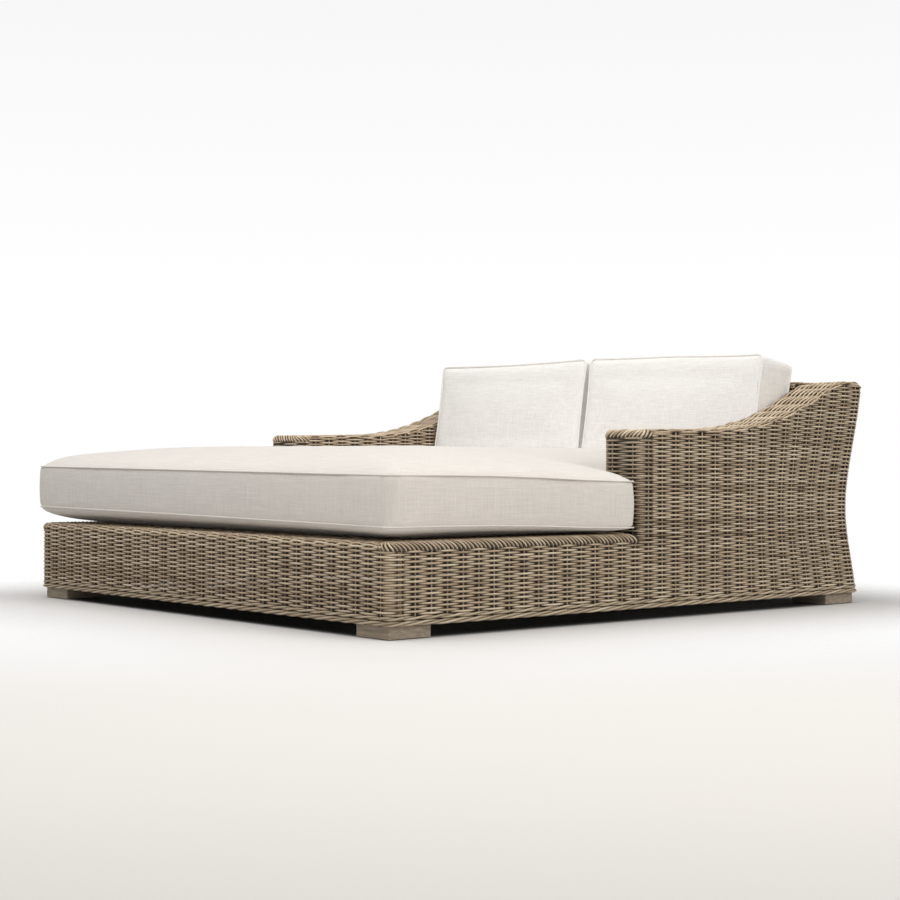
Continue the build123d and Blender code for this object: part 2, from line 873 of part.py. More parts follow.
pillow_width = arm_inner - pillow_side_gap - pillow_gap / 2
pillow_middle = (pillow_gap + pillow_width) / 2
rear_seam = soft_clearance + pillow_crown
front_seam = rear_seam + pillow_depth
pillow_seat = seat_top(pillow_plane(pillow_middle), pillow_width, rear_seam, front_seam)
pillow_foot_rise = pillow_seat + soft_clearance
for side, sign in (("left", -1), ("right", 1)):
    place = pillow_plane(sign * pillow_middle)
    with BuildPart() as back_cushion:
        for rise_share, reach_share in pillow_crown_shares:
            depth = rear_seam - pillow_crown * rise_share
            add(pillow_level(place, depth, pillow_crown_reach * reach_share))
        loft()
        add(pillow_level(place, rear_seam, 0))
        add(pillow_level(place, (rear_seam + front_seam) / 2, -pillow_boxing_swell))
        add(pillow_level(place, front_seam, 0))
        loft()
        for rise_share, reach_share in pillow_crown_shares:
            depth = front_seam + pillow_crown * rise_share
            add(pillow_level(place, depth, pillow_crown_reach * reach_share))
        loft()
    save(back_cushion, f"back_cushion_{side}")

    with BuildPart() as back_welts:
        for depth in (rear_seam, front_seam):
            with BuildSketch(place.offset(depth), mode=Mode.PRIVATE) as seam:
                add(pillow_outline(welt_radius, pillow_corner_radius - welt_radius))
            path = seam.sketch.faces()[0].outer_wire()
            with BuildSketch(Plane(path @ 0, z_dir=path % 0)):
                Circle(welt_radius)
            sweep(path=path)
    save(back_welts, f"back_cushion_welts_{side}")

# Zip along the back of the seat cushion and the bottom of each back cushion


def zip_pieces(place, length):
    """A zip on this plane, its teeth facing out, and its slider at the far end."""
    with BuildPart() as strip:
        with Locations(place):
            Box(length, zip_width, tape_thickness, align=(Align.CENTER, Align.CENTER, Align.MIN))
            Box(
                length,
                chain_width,
                tape_thickness + chain_thickness,
                align=(Align.CENTER, Align.CENTER, Align.MIN),
            )
    chain_top = tape_thickness + chain_thickness + slider_clearance
    with BuildPart() as slider:
        with Locations(place * Location((length / 2 - slider_length, 0, tape_thickness + slider_clearance))):
            Box(
                slider_length,
                slider_width,
                chain_thickness + slider_roof,
                align=(Align.CENTER, Align.CENTER, Align.MIN),
            )
            Box(
                slider_length,
                chain_width + 2 * slider_clearance,
                chain_thickness,
                align=(Align.CENTER, Align.CENTER, Align.MIN),
                mode=Mode.SUBTRACT,
            )
        with Locations(place * Location((length / 2 - slider_length, 0, chain_top))):
            Box(
                pull_length,
                pull_width,
                slider_roof,
                align=(Align.MAX, Align.CENTER, Align.MIN),
            )
    return strip, slider


seat_rear = back_foot - seat_back_gap - cover_inset + seat_boxing_swell
seat_zip_plane = Plane(
    origin=(0, seat_rear + soft_clearance, seat_boxing_middle),
    x_dir=(-1, 0, 0),
    z_dir=(0, 1, 0),
)
zip_strip, zip_slider = zip_pieces(seat_zip_plane, 2 * (arm_inner - zip_end_gap))
save(zip_strip, "seat_zip")
save(zip_slider, "seat_zip_slider")

pillow_boxing = pillow_foot_rise + cover_inset - pillow_boxing_swell
for side, sign in (("left", -1), ("right", 1)):
    lean_plane = pillow_plane(sign * pillow_middle)
    under = Plane(
        origin=lean_plane.from_local_coords(
            Vector(0, pillow_boxing - soft_clearance, (rear_seam + front_seam) / 2)
        ),
        x_dir=(1, 0, 0),
        z_dir=-lean_plane.y_dir,
    )
    zip_strip, zip_slider = zip_pieces(under, pillow_width - 2 * zip_end_gap)
    save(zip_strip, f"back_cushion_zip_{side}")
    save(zip_slider, f"back_zip_slider_{side}")
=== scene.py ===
import json
from math import cos, pi, radians, sin

import bpy
import numpy as np
from mathutils import Matrix, Vector


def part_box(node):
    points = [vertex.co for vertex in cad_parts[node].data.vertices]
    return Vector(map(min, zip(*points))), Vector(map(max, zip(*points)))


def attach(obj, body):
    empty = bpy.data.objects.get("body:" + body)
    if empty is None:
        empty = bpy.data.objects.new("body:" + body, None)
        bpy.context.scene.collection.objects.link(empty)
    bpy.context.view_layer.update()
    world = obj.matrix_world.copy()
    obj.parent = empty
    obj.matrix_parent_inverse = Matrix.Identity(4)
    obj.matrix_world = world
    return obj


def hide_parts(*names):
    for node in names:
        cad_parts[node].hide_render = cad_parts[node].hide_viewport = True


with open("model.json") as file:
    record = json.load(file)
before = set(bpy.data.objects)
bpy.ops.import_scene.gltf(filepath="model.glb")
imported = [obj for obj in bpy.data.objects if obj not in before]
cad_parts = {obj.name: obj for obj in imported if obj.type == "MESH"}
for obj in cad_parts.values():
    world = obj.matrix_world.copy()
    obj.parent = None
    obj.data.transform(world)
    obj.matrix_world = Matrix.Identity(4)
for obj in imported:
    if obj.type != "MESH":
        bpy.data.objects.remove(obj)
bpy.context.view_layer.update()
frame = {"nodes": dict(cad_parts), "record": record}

# Sizes read from the frame, in metres
foot_panel_low, foot_panel_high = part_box("base_front_panel")
arm_face_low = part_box("arm_front_panel_right")[0]
deck_low, deck_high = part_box("deck_panel")
border_low, border_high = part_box("border_front")
back_inner_low, back_inner_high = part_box("back_inner_panel")
back_cap_low, back_cap_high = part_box("back_cap")
rim_low, rim_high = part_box("rim_right")
seat_low, seat_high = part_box("seat_cushion")
welt_low, welt_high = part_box("seat_welts")
half_width = foot_panel_high.x
foot_end = foot_panel_low.y
ledge_edge = foot_panel_high.z
arm_inner = arm_face_low.x
arm_front = arm_face_low.y
rear_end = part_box("back_outer_panel")[1].y
back_edge = back_inner_high.z
lean = (back_cap_low.y - back_inner_low.y) / (back_edge - deck_low.z)

# Outline of the body
corner_radius = 0.025
rear_corner_radius = 0.018
top_round = 0.040
fan_start = 0.25

# Weave: rows run in front of one stake and behind the next
row_pitch = 0.006
row_drift = 0.0004
row_wander = 0.00025
row_unevenness = (0.85, 1.04)
row_thickness = (0.94, 1.03)
strand_radius = 0.0031
stake_radius = 0.0026
stake_lift = 0.0004
stake_step = 0.03
stake_tones = (0.1, 0.7)
tone_offset = 7.3
stake_pitch_base = 0.050
stake_pitch_arm = 0.0555
stake_setback = 0.012
double_gap = 0.006
skin_middle = 0.0080
wave_out = 0.0044
wave_in = 0.0036
corner_lift = 0.0038
edge_lap = 0.004
edge_gap = 0.002
skirt_lap = 0.006
slope_lap = 0.006
short_row = 0.02
row_shares = (0.0, 0.2, 0.42, 0.58, 0.8)
corner_shares = (0.0, 0.12, 0.24, 0.36, 0.5, 0.64, 0.76, 0.88)
end_share = 0.1

# Painted shade on the strands, from 0 to 1: where they lie deep or behind stakes, in crevices, on cores and
# arm faces
crevice_painted_shade = 0.25
behind_painted_shade = 0.36
crossing_painted_shade = 0.64
stake_painted_shade = 0.45
core_painted_shade = 0.96
face_row_painted_shade = 0.38
face_stake_painted_shade = 0.3

# Rope along the bottom edge, and the thinner pair on top of it
rope_lay = 0.0040
rope_pitch = 0.17
rope_strand_radius = 0.0033
rope_step = 0.009
rope_gap = 0.0004
pair_height = 0.0115
pair_lay = 0.0027
pair_pitch = 0.12
pair_strand_radius = 0.0031

# Wraps over the rolled edges, and the core strands beneath them
wrap_pitch = 0.0135
wrap_radius = 0.0027
wrap_slant = 0.75
wrap_foot = 0.007
wrap_tuck = 0.012
wrap_end_sink = 0.005
wrap_end_length = 0.008
wrap_thickness = (0.92, 1.06)
wrap_wander = 0.0009
wrap_sink_wander = 0.0008
fan_wrap_top = 0.030
core_pitch = 0.0058
core_depth = 0.0062
core_step = 0.012
core_turn = (-0.003, 0.032)
core_flat_start = 0.034
rim_radius = deck_high.z - ledge_edge
rim_joint = 0.006
face_wrap_pitch = 0.0145
face_wrap_radius = 0.0034
face_wrap_foot = 0.005
face_slant = -0.85
face_round = 0.021
face_core_turn = (-0.012, 0.034)
face_stake_lift = -0.001

# Caps of the arms and of the back
cap_pitch = 0.0082
cap_radius = 0.0032
cap_round = 0.012
cap_depth = back_cap_high.z - back_edge
cap_stake_step = 0.008
arm_width = half_width - arm_inner
bend_start = rear_end - top_round

# Deck
deck_stake_pitch = 0.08
deck_row_pitch = 0.0105
deck_row_shares = (0.0, 0.3, 0.7)

# Cushions
welt_radius = 0.0035
seat_seams = (welt_low.z + welt_radius, welt_high.z - welt_radius)
seat_voxel = 0.012
seat_swelling = 0.009
pillow_voxel = 0.008
pillow_swelling = 0.008
cloth_frames = 20
cloth_settings = {
    "quality": 4,
    "use_pressure": True,
    "uniform_pressure_force": 5.0,
    "tension_stiffness": 25,
    "compression_stiffness": 25,
    "shear_stiffness": 8,
    "bending_stiffness": 1.5,
}

# How the seat cushion lies: its lift at the foot end, its droop beside the right arm, its bulges
foot_lift = 0.010
foot_lift_tilt = 0.0075
arm_droop = 0.016
corner_round = 0.055
belly_depth = 0.009
wing_bulge = 0.012
left_reach = (0.008, 0.006)
seat_clearance = 0.0003

# How the back cushions stand: how far their fronts turn, and how low the right end is
pillow_turn = 0.027
pillow_droop = 0.014

# The photograph's camera, in metres, degrees and, for its lens, millimetres
camera_place = (4.1078, -3.4955, 0.4248)
camera_azimuth = 49.53
camera_pitch = 0.419
camera_roll = 0.157
camera_lens = 69.57
camera_sensor = 36.0

# Light of the studio
room_light = 0.38
overhead_power = 118
overhead_place = (0.3, -1.2, 3.3)
overhead_size = 4.5
key_power = 62
key_place = (4.4, 0.6, 2.4)
key_size = 2.5


def face_line(node, way, run, rise):
    """Places along the faces of a CAD node that look a given way: (run, rise) pairs in order of run."""
    mesh = frame["nodes"][node].data
    corners = {}
    for face in mesh.polygons:
        if face.normal.dot(Vector(way)) > 0.5:
            for index in face.vertices:
                place = mesh.vertices[index].co
                corners[round(place[run], 5)] = place[rise]
    runs = sorted(corners)
    return np.array(runs), np.array([corners[value] for value in runs])


def rear_line():
    """How far back the rear face is at each height, with its top edge rounded over."""
    mesh = frame["nodes"]["back_outer_panel"].data
    corners = {}
    for face in mesh.polygons:
        if face.normal.y > 0.5:
            for index in face.vertices:
                place = mesh.vertices[index].co
                height = round(place.z, 5)
                corners[height] = max(corners.get(height, place.y), place.y)
    heights = np.array(sorted(corners))
    places = np.array([corners[value] for value in heights])
    crest = back_cap_high.z
    rounded = np.linspace(crest - top_round, crest, 9)
    levels = np.unique(np.concatenate([heights, rounded]))
    past = np.clip(levels - (crest - top_round), 0, top_round)
    inward = top_round - np.sqrt(np.maximum(top_round**2 - past**2, 0))
    return levels, np.interp(levels, heights, places) - inward


arm_run, arm_rise = face_line("arm_cap_right", (0, 0, -1), 1, 2)
rear_height, rear_place = rear_line()


def smooth(value):
    """Eases from 0 to 1 as value does."""
    value = np.clip(value, 0, 1)
    return value * value * (3 - 2 * value)


def unit(ways):
    """The same ways, one long."""
    return ways / np.linalg.norm(ways, axis=-1, keepdims=True)


def three(x, y, z):
    """Points or ways from their x, y and z."""
    return np.stack(np.broadcast_arrays(x, y, z), axis=-1).astype(float)


def spaced(start, end, pitch):
    """Places from start to end, about one pitch apart."""
    return np.linspace(start, end, max(2, int(round((end - start) / pitch)) + 1))


def inside(start, end, places):
    """The places that lie between start and end."""
    return [place for place in places if start < place < end]


def add_object(name, data):
    """A new object in the scene."""
    added = bpy.data.objects.new(name, data)
    bpy.context.scene.collection.objects.link(added)
    return added


upward = np.array([0, 0, 1.0])
lean_way = unit(np.array([0, -1.0, lean]))
lean_up = unit(np.array([0, lean, 1.0]))


# Strands as meshes


class Strands:
    """Round strands gathered for one mesh, with what each point knows of its strand."""

    def __init__(self):
        self.points = []
        self.quads = []
        self.caps = []
        self.notes = []
        self.depths = []
        self.count = 0

    def add(self, line, look, radius, tone, depth=0.0, sides=6):
        """A strand along line: look is the way out of the surface at each of its points."""
        ways = unit(np.gradient(line, axis=0))
        across = unit(np.cross(ways, look))
        out = np.cross(across, ways)
        number = len(line)
        turn = (np.arange(sides) + 0.5) * 2 * pi / sides
        ring_out = np.cos(turn)[None, :, None] * out[:, None, :]
        ring_across = np.sin(turn)[None, :, None] * across[:, None, :]
        points = line[:, None, :] + radius * (ring_out + ring_across)
        run = np.concatenate([[0], np.cumsum(np.linalg.norm(np.diff(line, axis=0), axis=1))])
        notes = np.empty((number, sides, 3))
        notes[:, :, 0] = run[:, None] + tone_offset * tone
        notes[:, :, 1] = tone
        notes[:, :, 2] = (turn / (2 * pi))[None, :]
        # Painted shade round a strand: darker along its edges beside the next rows, lighter across its front
        crevice_shade = crevice_painted_shade * (2 * np.abs(np.sin(turn)) - 1)
        sunk = np.broadcast_to(np.asarray(depth, float).reshape(-1, 1), (number, sides))
        near = np.arange(number - 1)[:, None] * sides + np.arange(sides)[None, :]
        beside = np.arange(number - 1)[:, None] * sides + (np.arange(sides)[None, :] + 1) % sides
        quads = np.stack([near, beside, beside + sides, near + sides], axis=-1).reshape(-1, 4)
        last = (number - 1) * sides
        caps = np.array([np.arange(sides)[::-1], last + np.arange(sides)])
        self.points.append(points.reshape(-1, 3))
        self.notes.append(notes.reshape(-1, 3))
        self.depths.append(np.clip(sunk + crevice_shade, 0, 1).reshape(-1))
        self.quads.append(quads + self.count)
        self.caps.append(caps + self.count)
        self.count += number * sides

    def build(self, name, material):
        """The gathered strands as one object."""
        points = np.concatenate(self.points)
        quads = np.concatenate(self.quads)
        caps = np.concatenate(self.caps)
        loops = np.concatenate([quads.ravel(), caps.ravel()]).astype(np.int32)
        quad_starts = np.arange(len(quads)) * 4
        cap_starts = len(quads) * 4 + np.arange(len(caps)) * caps.shape[1]
        starts = np.concatenate([quad_starts, cap_starts]).astype(np.int32)
        mesh = bpy.data.meshes.new(name)
        mesh.vertices.add(len(points))
        mesh.vertices.foreach_set("co", points.astype(np.float32).ravel())
        mesh.loops.add(len(loops))
        mesh.loops.foreach_set("vertex_index", loops)
        mesh.polygons.add(len(starts))
        mesh.polygons.foreach_set("loop_start", starts)
        mesh.update(calc_edges=True)
        mesh.polygons.foreach_set("use_smooth", np.ones(len(starts), bool))
        notes = mesh.attributes.new("strand", "FLOAT_VECTOR", "POINT")
        notes.data.foreach_set("vector", np.concatenate(self.notes).astype(np.float32).ravel())
        # Each point's painted shade, from 0 to 1, which the material darkens by
        depths = mesh.attributes.new("sunk", "FLOAT", "POINT")
        depths.data.foreach_set("value", np.concatenate(self.depths).astype(np.float32))
        mesh.materials.append(material)
        return add_object(name, mesh)


class Weave:
    """A woven skin: rows that run along w and stakes that run along v of one surface."""

    def __init__(self, surface, stakes, first_index, seed, corners=()):
        self.surface = surface
        self.stakes = np.asarray(stakes, float)
        self.corners = corners
        self.indices = first_index + np.arange(len(self.stakes))
        self.shares = row_shares
        self.random = np.random.RandomState(seed)
        self.strands = Strands()

    def steps(self, first, last):
        """Where along the stakes' count a row gets its points: closer together round a corner."""
        index = []
        for stake in range(int(np.floor(first)), int(np.ceil(last))):
            middle = np.interp(stake + 0.5, self.indices, self.stakes)
            turning = any(low < middle < high for low, high in self.corners)
            index += [stake + share for share in (corner_shares if turning else self.shares)]
        return [value for value in index if first + end_share < value < last - end_share]

    def row(self, number, v, start, end, radius=strand_radius, dark=0.0):
        """One row at v from w=start to w=end, in front of every other stake and behind the rest."""
        first, last = np.interp([start, end], self.stakes, self.indices)
        index = np.concatenate([[first], self.steps(first, last), [last]])
        w = np.interp(index, self.indices, self.stakes)
        w[0] = start
        w[-1] = end
        wave = np.cos(pi * (index + number))
        behind = (1 - wave) / 2
        lift = np.where(wave > 0, wave * wave_out * self.random.uniform(*row_unevenness), wave * wave_in)
        # Painted shade where the row runs behind a stake, darkest where it crosses, and less round the
        # corners
        sunk = behind_painted_shade * behind + crossing_painted_shade * np.clip((-wave - 0.25) / 0.35, 0, 1)
        for low, high in self.corners:
            turned = np.sin(pi * np.clip((w - low) / (high - low), 0, 1))
            lift = lift + corner_lift * turned * behind
            sunk = sunk * (1 - turned)
        drift = row_drift * np.sin(w * 23 + v * 260) + self.random.uniform(-row_wander, row_wander)
        place, out = self.surface(w, v + drift)
        line = place + out * (lift - skin_middle)[:, None]
        size = radius * self.random.uniform(*row_thickness)
        self.strands.add(line, out, size, self.random.uniform(), np.clip(sunk + dark, 0, 1))

    def stake(self, w, low, high, step=stake_step, lift=stake_lift, dark=stake_painted_shade):
        """One stake at w from v=low to v=high."""
        places = [self.surface(np.array([w]), height) for height in spaced(low, high, step)]
        place = np.array([point[0] for point, out in places])
        look = np.array([out[0] for point, out in places])
        line = place + look * (lift - skin_middle)
        # A stake is painted darker as shade, for it lies deep behind the rows
        self.strands.add(line, look, stake_radius, self.random.uniform(*stake_tones), dark)


# Outlines of the body in plan, and the stakes round it

front_straight = half_width - corner_radius
front_corner_end = front_straight + corner_radius * pi / 2
side_start = foot_end + corner_radius
side_end = rear_end - rear_corner_radius
rear_corner_start = front_corner_end + side_end - side_start
rear_corner_end = rear_corner_start + rear_corner_radius * pi / 2
ring_end = rear_corner_end + half_width - rear_corner_radius
arm_corner = front_corner_end + arm_front - foot_end
arm_face_end = arm_corner - corner_radius * pi / 2
arm_face_start = arm_face_end - (half_width - arm_inner - 2 * corner_radius)
arm_side_start = arm_face_start - corner_radius * pi / 2


def ring(w, z):
    """The outline of the whole body: w is the distance from the middle of the foot end, + to the right."""
    s = np.abs(w)
    front_turn = np.clip((s - front_straight) / corner_radius, 0, pi / 2)
    rear_turn = np.clip((s - rear_corner_start) / rear_corner_radius, 0, pi / 2)
    front = s < front_corner_end
    front_x = np.minimum(s, front_straight) + corner_radius * np.sin(front_turn)
    front_y = foot_end + corner_radius * (1 - np.cos(front_turn))
    rear_x = half_width - rear_corner_radius * (1 - np.cos(rear_turn)) - np.maximum(s - rear_corner_end, 0)
    side_run = np.clip(s - front_corner_end, 0, side_end - side_start)
    rear_y = side_start + side_run + rear_corner_radius * np.sin(rear_turn)
    x = np.where(front, front_x, rear_x)
    y = np.where(front, front_y, rear_y)
    out_x = np.where(front, np.sin(front_turn), np.cos(rear_turn))
    out_y = np.where(front, -np.cos(front_turn), np.sin(rear_turn))
    fan = smooth((y - fan_start) / (side_end - fan_start))
    y = y + (np.interp(z, rear_height, rear_place) - rear_end) * fan
    side = np.where(np.asarray(w) < 0, -1.0, 1.0)
    return three(x * side, y, z), three(out_x * side, out_y, 0)


def arm_ring(w, z):
    """The outline of the right arm: the body's own outline outside, then round the face and back inside."""
    w = np.asarray(w, float)
    place, out = ring(np.maximum(w, arm_corner), z)
    outer = np.clip((arm_corner - w) / corner_radius, 0, pi / 2)
    inner = np.clip((arm_face_start - w) / corner_radius, 0, pi / 2)
    x = half_width - corner_radius + corner_radius * np.cos(outer)
    x = x - np.clip(arm_face_end - w, 0, arm_face_end - arm_face_start) - corner_radius * np.sin(inner)
    y = arm_front + corner_radius * (1 - np.sin(outer)) + corner_radius * (1 - np.cos(inner))
    y = y + np.maximum(arm_side_start - w, 0)
    before = (w < arm_corner)[:, None]
    turn_x = np.where(w > arm_face_end, np.cos(outer), -np.sin(inner))
    turn_y = np.where(w > arm_face_end, -np.sin(outer), -np.cos(inner))
    place = np.where(before, three(x, y, z), place)
    out = np.where(before, three(turn_x, turn_y, 0), out)
    return place, out


def mirrored(surface):
    """The same surface on the left side of the body."""
    flip = np.array([-1.0, 1.0, 1.0])

    def flipped(w, v):
        place, out = surface(w, v)
        return place * flip, out * flip

    return flipped


half_stakes = np.concatenate(
    [
        spaced(0, front_straight - stake_setback, stake_pitch_base),
        spaced(front_corner_end + stake_setback, arm_corner + stake_setback, stake_pitch_base),
        spaced(arm_corner + stake_setback, rear_corner_start - stake_setback, stake_pitch_arm)[1:],
        spaced(rear_corner_end + stake_setback, ring_end, stake_pitch_arm),
    ]
)
ring_stakes = np.concatenate([-half_stakes[:0:-1], half_stakes])
ring_first = 1 - len(half_stakes)
arm_index = int(np.argmin(np.abs(half_stakes - arm_corner - stake_setback)))
inner_length = back_inner_high.y - arm_front
arm_extra = np.concatenate(
    [
        spaced(arm_side_start - inner_length, arm_side_start - stake_setback, stake_pitch_arm),
        [arm_face_start + stake_setback, arm_face_end - stake_setback],
    ]
)
arm_stakes = np.concatenate([arm_extra, half_stakes[arm_index:]])
arm_first = arm_index - len(arm_extra)
back_stakes = spaced(-arm_inner + stake_setback, arm_inner - stake_setback, stake_pitch_arm)

# Where one skin ends and the next begins
cut_place = front_corner_end + corner_radius
rear_cut = rear_corner_start
arm_outer_cut = arm_corner + corner_radius
arm_inner_cut = arm_side_start - corner_radius
front_corner = (front_straight - stake_setback, front_corner_end + stake_setback)
rear_corner = (rear_corner_start - stake_setback, rear_corner_end + stake_setback)
arm_outer_corner = (arm_face_end - stake_setback, arm_corner + stake_setback)
arm_inner_corner = (arm_side_start - stake_setback, arm_face_start + stake_setback)

# Heights of the rows
skirt_foot = border_low.z + skirt_lap
weave_start = border_high.z + pair_height + row_pitch / 2
row_count = int((back_edge - weave_start) / row_pitch) + 1


def row_height(number):
    return weave_start + number * row_pitch


base_rows = [number for number in range(row_count) if row_height(number) < ledge_edge - edge_gap]
arm_rows = list(range(len(base_rows), row_count))


# Nodes of the materials


def new_tree(name):
    material = bpy.data.materials.new(name)
    material.use_nodes = True
    tree = material.node_tree
    tree.nodes.clear()
    return material, tree


def add_node(tree, kind, inputs=None, **settings):
    """A node with its settings, its inputs given as values or as another node's outputs."""
    node = tree.nodes.new(kind)
    for key, value in settings.items():
        setattr(node, key, value)
    for key, value in (inputs or {}).items():
        if isinstance(value, bpy.types.NodeSocket):
            tree.links.new(value, node.inputs[key])
        else:
            node.inputs[key].default_value = value
    return node


def sums(tree, operation, a, b=0.0, c=0.0):
    return add_node(tree, "ShaderNodeMath", {0: a, 1: b, 2: c}, operation=operation).outputs[0]


def times(tree, a, b):
    return sums(tree, "MULTIPLY", a, b)


def split(tree, vector):
    """The x, y and z of a vector."""
    return add_node(tree, "ShaderNodeSeparateXYZ", {0: vector}).outputs


def object_place(tree):
    return add_node(tree, "ShaderNodeTexCoord").outputs["Object"]


def facing(tree):
    return add_node(tree, "ShaderNodeNewGeometry").outputs["Normal"]


def stretched(tree, place, size):
    return add_node(tree, "ShaderNodeVectorMath", {0: place, 1: size}, operation="MULTIPLY").outputs[0]


def noise(tree, place, scale, detail, roughness=0.5, distortion=0.0):
    inputs = {"Vector": place, "Scale": scale, "Detail": detail, "Roughness": roughness}
    return add_node(tree, "ShaderNodeTexNoise", {**inputs, "Distortion": distortion}).outputs[0]


def spread(tree, value, start, end, low, high, easing="LINEAR"):
    """A value between start and end, spread from low to high."""
    inputs = {0: value, 1: start, 2: end, 3: low, 4: high}
    return add_node(tree, "ShaderNodeMapRange", inputs, interpolation_type=easing).outputs[0]


def mix_colour(tree, share, a, b, blend="MIX"):
    node = add_node(tree, "ShaderNodeMix", {0: share, 6: a, 7: b}, data_type="RGBA", blend_type=blend)
    return node.outputs[2]


def tinted(tree, colour, shade):
    """A colour made lighter or darker by a value."""
    grey = add_node(tree, "ShaderNodeCombineColor", {0: shade, 1: shade, 2: shade}).outputs[0]
    return mix_colour(tree, 1.0, colour, grey, "MULTIPLY")


def ramp(tree, value, stops):
    """A colour ramp through (place, colour) stops."""
    node = add_node(tree, "ShaderNodeValToRGB", {0: value})
    band = node.color_ramp
    while len(band.elements) < len(stops):
        band.elements.new(0.5)
    for element, (place, colour) in zip(band.elements, stops):
        element.position = place
        element.color = (*colour, 1)
    return node.outputs[0]


def bump(tree, height, strength, distance):
    inputs = {"Height": height, "Strength": strength, "Distance": distance}
    return add_node(tree, "ShaderNodeBump", inputs).outputs[0]


def finish_material(tree, colour, roughness, normal=None, **sockets):
    """The shader of one material and its output."""
    inputs = {"Base Color": colour, "Roughness": roughness}
    if normal is not None:
        inputs["Normal"] = normal
    inputs.update(sockets)
    shader = add_node(tree, "ShaderNodeBsdfPrincipled", inputs)
    add_node(tree, "ShaderNodeOutputMaterial", {"Surface": shader.outputs[0]})


# Effects that several materials share


def effect_group(name, inputs, outputs):
    """An empty node group with named inputs and outputs."""
    tree = bpy.data.node_groups.new(name, "ShaderNodeTree")
    for label, kind, value in inputs:
        socket = tree.interface.new_socket(label, in_out="INPUT", socket_type=kind)
        if value is not None:
            socket.default_value = value
    for label, kind in outputs:
        tree.interface.new_socket(label, in_out="OUTPUT", socket_type=kind)
    return tree, tree.nodes.new("NodeGroupInput"), tree.nodes.new("NodeGroupOutput")


def place_group(tree, group, inputs):
    return add_node(tree, "ShaderNodeGroup", inputs, node_tree=group)


def build_strand_fibre():
    """How a woven strand varies along itself and round itself: a tone and a fine ridge height."""
    tree, given, result = effect_group(
        "strand_fibre",
        [("Strand", "NodeSocketVector", None), ("Length Scale", "NodeSocketFloat", 6.0)],
        [("Tone", "NodeSocketFloat"), ("Ridges", "NodeSocketFloat")],
    )
    run, tone, turn = split(tree, given.outputs["Strand"])
    far = times(tree, run, given.outputs["Length Scale"])
    lane = times(tree, tone, 83.0)
    slow_place = add_node(tree, "ShaderNodeCombineXYZ", {0: far, 1: lane}).outputs[0]
    slow = noise(tree, slow_place, 1.0, 2.0, 0.6)
    own = sums(tree, "FRACT", times(tree, tone, 57.0))
    blend = sums(tree, "ADD", times(tree, slow, 0.95), times(tree, own, 0.28))
    tree.links.new(sums(tree, "SUBTRACT", blend, 0.115), result.inputs["Tone"])
    angle = times(tree, turn, 2 * pi)
    round_way = times(tree, sums(tree, "SINE", angle), 5.0)
    rise_way = times(tree, sums(tree, "COSINE", angle), 5.0)
    fine_inputs = {0: times(tree, run, 9.0), 1: round_way, 2: rise_way}
    fine_place = add_node(tree, "ShaderNodeCombineXYZ", fine_inputs).outputs[0]
    tree.links.new(noise(tree, fine_place, 1.6, 4.0, 0.65), result.inputs["Ridges"])
    return tree


def build_cloth_threads():
    """Threads of a plain linen cloth: a height, and slubs where a thread is thick."""
    tree, given, result = effect_group(
        "cloth_threads",
        [("Thread Scale", "NodeSocketFloat", 1.0)],
        [("Height", "NodeSocketFloat"), ("Slubs", "NodeSocketFloat")],
    )
    place = object_place(tree)
    leans = split(tree, facing(tree))
    for label, across, run in (("Height", 1150.0, 60.0), ("Slubs", 330.0, 11.0)):
        total = 0.0
        for axis in range(3):
            share = sums(tree, "SUBTRACT", 1.0, sums(tree, "ABSOLUTE", leans[axis]))
            share = sums(tree, "POWER", share, 0.7)
            stretch = [run if number == axis else across for number in range(3)]
            threads = noise(tree, stretched(tree, place, stretch), given.outputs[0], 1.0)
            total = sums(tree, "ADD", total, times(tree, sums(tree, "SUBTRACT", threads, 0.5), share))
        tree.links.new(total, result.inputs[label])
    return tree


strand_fibre = build_strand_fibre()
cloth_threads = build_cloth_threads()


# Materials


def strand_material(name, dark, middle, light, length_scale=6.0):
    """Woven strand: each one its own tone, with painted shade where it runs deep in the weave and on its
    downward faces.
    """
    material, tree = new_tree(name)
    notes = add_node(tree, "ShaderNodeAttribute", attribute_name="strand", attribute_type="GEOMETRY")
    sunk = add_node(tree, "ShaderNodeAttribute", attribute_name="sunk", attribute_type="GEOMETRY")
    inputs = {"Strand": notes.outputs["Vector"], "Length Scale": length_scale}
    fibre = place_group(tree, strand_fibre, inputs)
    ridges = fibre.outputs["Ridges"]
    colour = ramp(tree, fibre.outputs["Tone"], [(0.12, dark), (0.5, middle), (0.86, light)])
    colour = tinted(tree, colour, sums(tree, "MULTIPLY_ADD", ridges, 0.5, 0.75))
    # Painted shade: near-black where the strand lies deep in the weave
    depth = sums(tree, "POWER", sunk.outputs["Fac"], 1.3)
    colour = mix_colour(tree, times(tree, depth, 0.97), colour, (0.010, 0.007, 0.004, 1))
    # Painted shade on the faces that look down
    underside_painted_shade = spread(tree, split(tree, facing(tree))[2], -0.9, 0.35, 0.5, 0.0)
    colour = mix_colour(tree, underside_painted_shade, colour, (0.03, 0.02, 0.012, 1))
    roughness = sums(tree, "MULTIPLY_ADD", ridges, 0.2, 0.46)
    normal = bump(tree, ridges, 0.35, 0.0006)
    finish_material(tree, colour, roughness, normal, **{"Specular IOR Level": 0.35})
    return material


